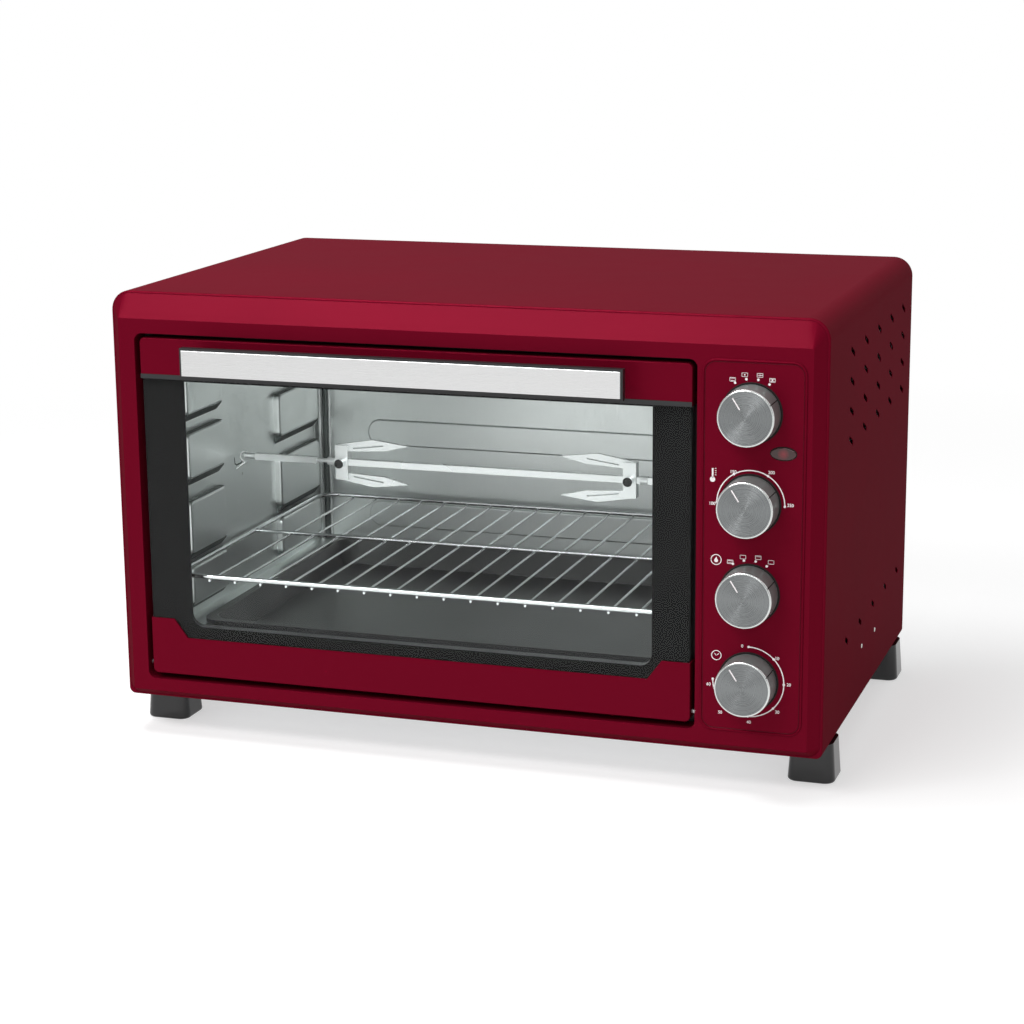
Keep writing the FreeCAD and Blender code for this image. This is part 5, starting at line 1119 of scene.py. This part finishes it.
# %% Curl the hook under the spit's end
HOOK_R, HOOK_WIRE, HOOK_STEPS = 4.3 * MM, 0.7, 12
HOOK_ARC = (1.4, 4.9)
HOOK_IN = 2.0 * MM
HOOK_TAIL = ((-3.0, -2.0, -6.5), (-6.3, -5.0, -9.5))
DENT_SHADOW = ((-23.5, 190.0), (-22.8, 185.0), (-20.0, 183.2), (-11.0, 183.2), (-8.4, 185.0))
pin_low, pin_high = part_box("spit_rod")
pin = Vector((pin_low.x + HOOK_IN, pin_low.y - HOOK_WIRE * MM, (pin_low.z + pin_high.z) / 2))
hook_path = [(x, pin.y, z) for x, z in arc(pin.x, pin.z, HOOK_R, *HOOK_ARC, HOOK_STEPS)]
hook_path += [pin + Vector(place) * MM for place in HOOK_TAIL]
hook = sweep("spit_hook", "oven", hook_path, HOOK_WIRE, "spit_steel", "cavity_steel")
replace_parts(hook, "spit_bracket")
# A dark line along the lower edge of the dent under the hook is painted shadow.
dent_shadow_path = [(wall_left, y * MM, z * MM) for y, z in DENT_SHADOW]
sweep("hook_dent_shadow", "oven", dent_shadow_path, 0.9, "shaded_steel", "cavity_steel")
print("hook curled with", len(hook_path), "points")

# %% [markdown]
# ## The door's printed border and trim
# The window in the black print has square corners at the top and round ones below. A thin
# black trim closes the joint between the red strip and the pane.

# %% Print the border and lay the trim
WINDOW_LEFT, WINDOW_RIGHT, WINDOW_LOW, WINDOW_TOP = 31.85 * MM, 28.25 * MM, 26.0 * MM, 13.9 * MM
WINDOW_CORNER, CORNER_STEPS, PRINT_SINK = 9.0 * MM, 8, 0.02 * MM
TRIM_INSET, TRIM_FRONT, TRIM_BACK = 0.3 * MM, 0.4 * MM, 0.6 * MM
TRIM_LOW, TRIM_HIGH = 0.4 * MM, 3.0 * MM


def window_outline(low, high):
    """The window in the print, with round corners at the bottom only."""
    x0, x1 = low.x + WINDOW_LEFT, high.x - WINDOW_RIGHT
    z0, z1 = low.z + WINDOW_LOW, high.z - WINDOW_TOP
    corners = [(x1, z1), (x0, z1)]
    for x, quarter in ((x0 + WINDOW_CORNER, 2), (x1 - WINDOW_CORNER, 3)):
        corners += arc(x, z0 + WINDOW_CORNER, WINDOW_CORNER, quarter * QUARTER_TURN,
                       (quarter + 1) * QUARTER_TURN, CORNER_STEPS)
    return corners


def print_border():
    low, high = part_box("door_glass_print")
    curve = bpy.data.curves.new("door_border", "CURVE")
    curve.dimensions = "2D"
    curve.fill_mode = "BOTH"
    curve.extrude = (high.y - low.y) / 2
    for loop in (rectangle(low.x, high.x, low.z, high.z), window_outline(low, high)):
        line = curve.splines.new("POLY")
        line.points.add(len(loop) - 1)
        for point, (x, z) in zip(line.points, loop):
            point.co = (x, z, 0.0, 1.0)
        line.use_cyclic_u = True
    mesh = mesh_of_curve(curve)
    mesh.transform(Matrix.Translation((0.0, (low.y + high.y) / 2 - PRINT_SINK, 0.0)))
    form = bmesh.new()
    form.from_mesh(mesh)
    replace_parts(hand_over(form, "printed_border", "door", "black_print"), "door_glass_print")


def lay_trim():
    low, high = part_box("door_top_strip")
    form = bmesh.new()
    prism(form, rectangle(low.x + TRIM_INSET, high.x - TRIM_INSET, low.z - TRIM_LOW, low.z + TRIM_HIGH),
          low.y - TRIM_FRONT, low.y + TRIM_BACK)
    hand_over(form, "top_trim", "door", "black_plastic")


print_border()
lay_trim()
print("border printed")

# %% [markdown]
# ## Screws with a cross in the head
# The rear panel, the feet, the right side and the spit's forks are held by small domed screws,
# and one rivet holds the hook. A tree puts one head on every point of a bare mesh and turns each
# by its own amount, as a fitter leaves them. Most places are read from the CAD screws.

# %% Build the screw tree
CROSS_DEPTH = 1.2


def make_screw_tree():
    rule = Rule("cross_head_screws", Geometry="Points", Vector="Facing", Int="Seed", Material="Material",
                Float="Head radius, Head height, Cross length, Cross width")
    radius, height = rule["Head radius"], rule["Head height"]
    ball = rule.made("MeshUVSphere", Segments=24, Rings=12, Radius=1.0)
    dome = rule.made("Transform", Geometry=ball, Scale=rule.triple(radius, radius, height))
    depth = rule.maths("MULTIPLY", height, CROSS_DEPTH)
    lift = rule.triple(0.0, 0.0, height)
    spans = (rule["Cross length"], rule["Cross width"]), (rule["Cross width"], rule["Cross length"])
    bars = [rule.made("MeshCube", Size=rule.triple(*span, depth)) for span in spans]
    head = rule.cut_away(dome, *(rule.made("Transform", Geometry=bar, Translation=lift) for bar in bars))
    chance = rule.add("FunctionNodeRandomValue", {"Seed": rule["Seed"]}, data_type="FLOAT").outputs[1]
    angle = rule.maths("MULTIPLY", chance, QUARTER_TURN)
    turned, outwards = (rule.add("FunctionNodeEulerToRotation", {0: euler}).outputs[0]
                        for euler in (rule.triple(0.0, 0.0, angle), rule["Facing"]))
    rotation = rule.add("FunctionNodeRotateRotation", {"Rotation": outwards, "Rotate By": turned},
                        rotation_space="LOCAL").outputs[0]
    points = rule.made("MeshToPoints", Mesh=rule["Points"])
    heads = rule.made("InstanceOnPoints", Points=points, Instance=head, Rotation=rotation)
    return rule.hand_out(heads, rule["Material"])


SCREW_TREE = make_screw_tree()

# %% Drive the screws


def separate_boxes(node):
    """The boxes of the loose solids in a CAD node."""
    form = bmesh.new()
    form.from_mesh(frame["nodes"][node].data)
    bmesh.ops.remove_doubles(form, verts=form.verts, dist=MERGE)
    seen, boxes = set(), []
    for start in form.verts:
        if start in seen:
            continue
        seen.add(start)
        island, edge = [], [start]
        while edge:
            vert = edge.pop()
            island.append(vert.co)
            fresh = {line.other_vert(vert) for line in vert.link_edges} - seen
            seen |= fresh
            edge.extend(fresh)
        corners = list(zip(*island))
        boxes.append((Vector(map(min, corners)), Vector(map(max, corners))))
    form.free()
    return boxes


FOOT_SCREW_RISE = 2.0 * MM
SIDE_PLACES = ((-8.1, 71.6), (46.2, 69.4))
RIVET_PLACE = (-9.0, 174.0)
TO_BACK, TO_RIGHT, DOWN = (-QUARTER_TURN, 0.0, 0.0), (0.0, QUARTER_TURN, 0.0), (HALF_TURN, 0.0, 0.0)
rear_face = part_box("rear_panel")[1].y
rear_places, foot_places = [], []
for low, high in separate_boxes("casing_screws"):
    middle = (low + high) / 2
    if high.y > rear_face:
        rear_places.append((middle.x, rear_face, middle.z))
    else:
        foot_places.append((middle.x, middle.y, low.z + FOOT_SCREW_RISE))
fork_places = [((low.x + high.x) / 2, low.y, (low.z + high.z) / 2)
               for low, high in separate_boxes("fork_screws")]
side_places = [(casing_high.x, y * MM, z * MM) for y, z in SIDE_PLACES]
rivet_places = [(wall_left, RIVET_PLACE[0] * MM, RIVET_PLACE[1] * MM)]
SCREWS = {
    # name: (places, body, finish, head radius, head height, cross length, cross width, facing, seed)
    "rear_screw_heads": (rear_places, "oven", "zinc_steel", 3.6, 1.9, 3.8, 0.8, TO_BACK, 3),
    "foot_screw_heads": (foot_places, "oven", "zinc_steel", 4.2, 2.0, 4.4, 0.9, DOWN, 4),
    "side_screw_heads": (side_places, "oven", "zinc_steel", 1.7, 0.7, 1.9, 0.5, TO_RIGHT, 5),
    "wall_rivet": (rivet_places, "oven", "zinc_steel", 1.9, 0.8, 1.6, 0.5, TO_RIGHT, 7),
    "fork_screw_heads": (fork_places, "rotisserie", "dark_screw", 3.7, 1.2, 3.4, 1.2, TO_FRONT, 6),
}
for name, (places, body, finish, radius, height, cross, width, facing, seed) in SCREWS.items():
    heads = grow(SCREW_TREE, name, body, points=places, Head_radius=radius * MM, Head_height=height * MM,
                 Cross_length=cross * MM, Cross_width=width * MM, Facing=facing, Seed=seed,
                 Material=finishes[finish])
    if places in (rear_places, foot_places):
        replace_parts(heads, "casing_screws")
    print(name, "stand at", len(places), "places")

# %% The end of the lesson
print("the oven is dressed")
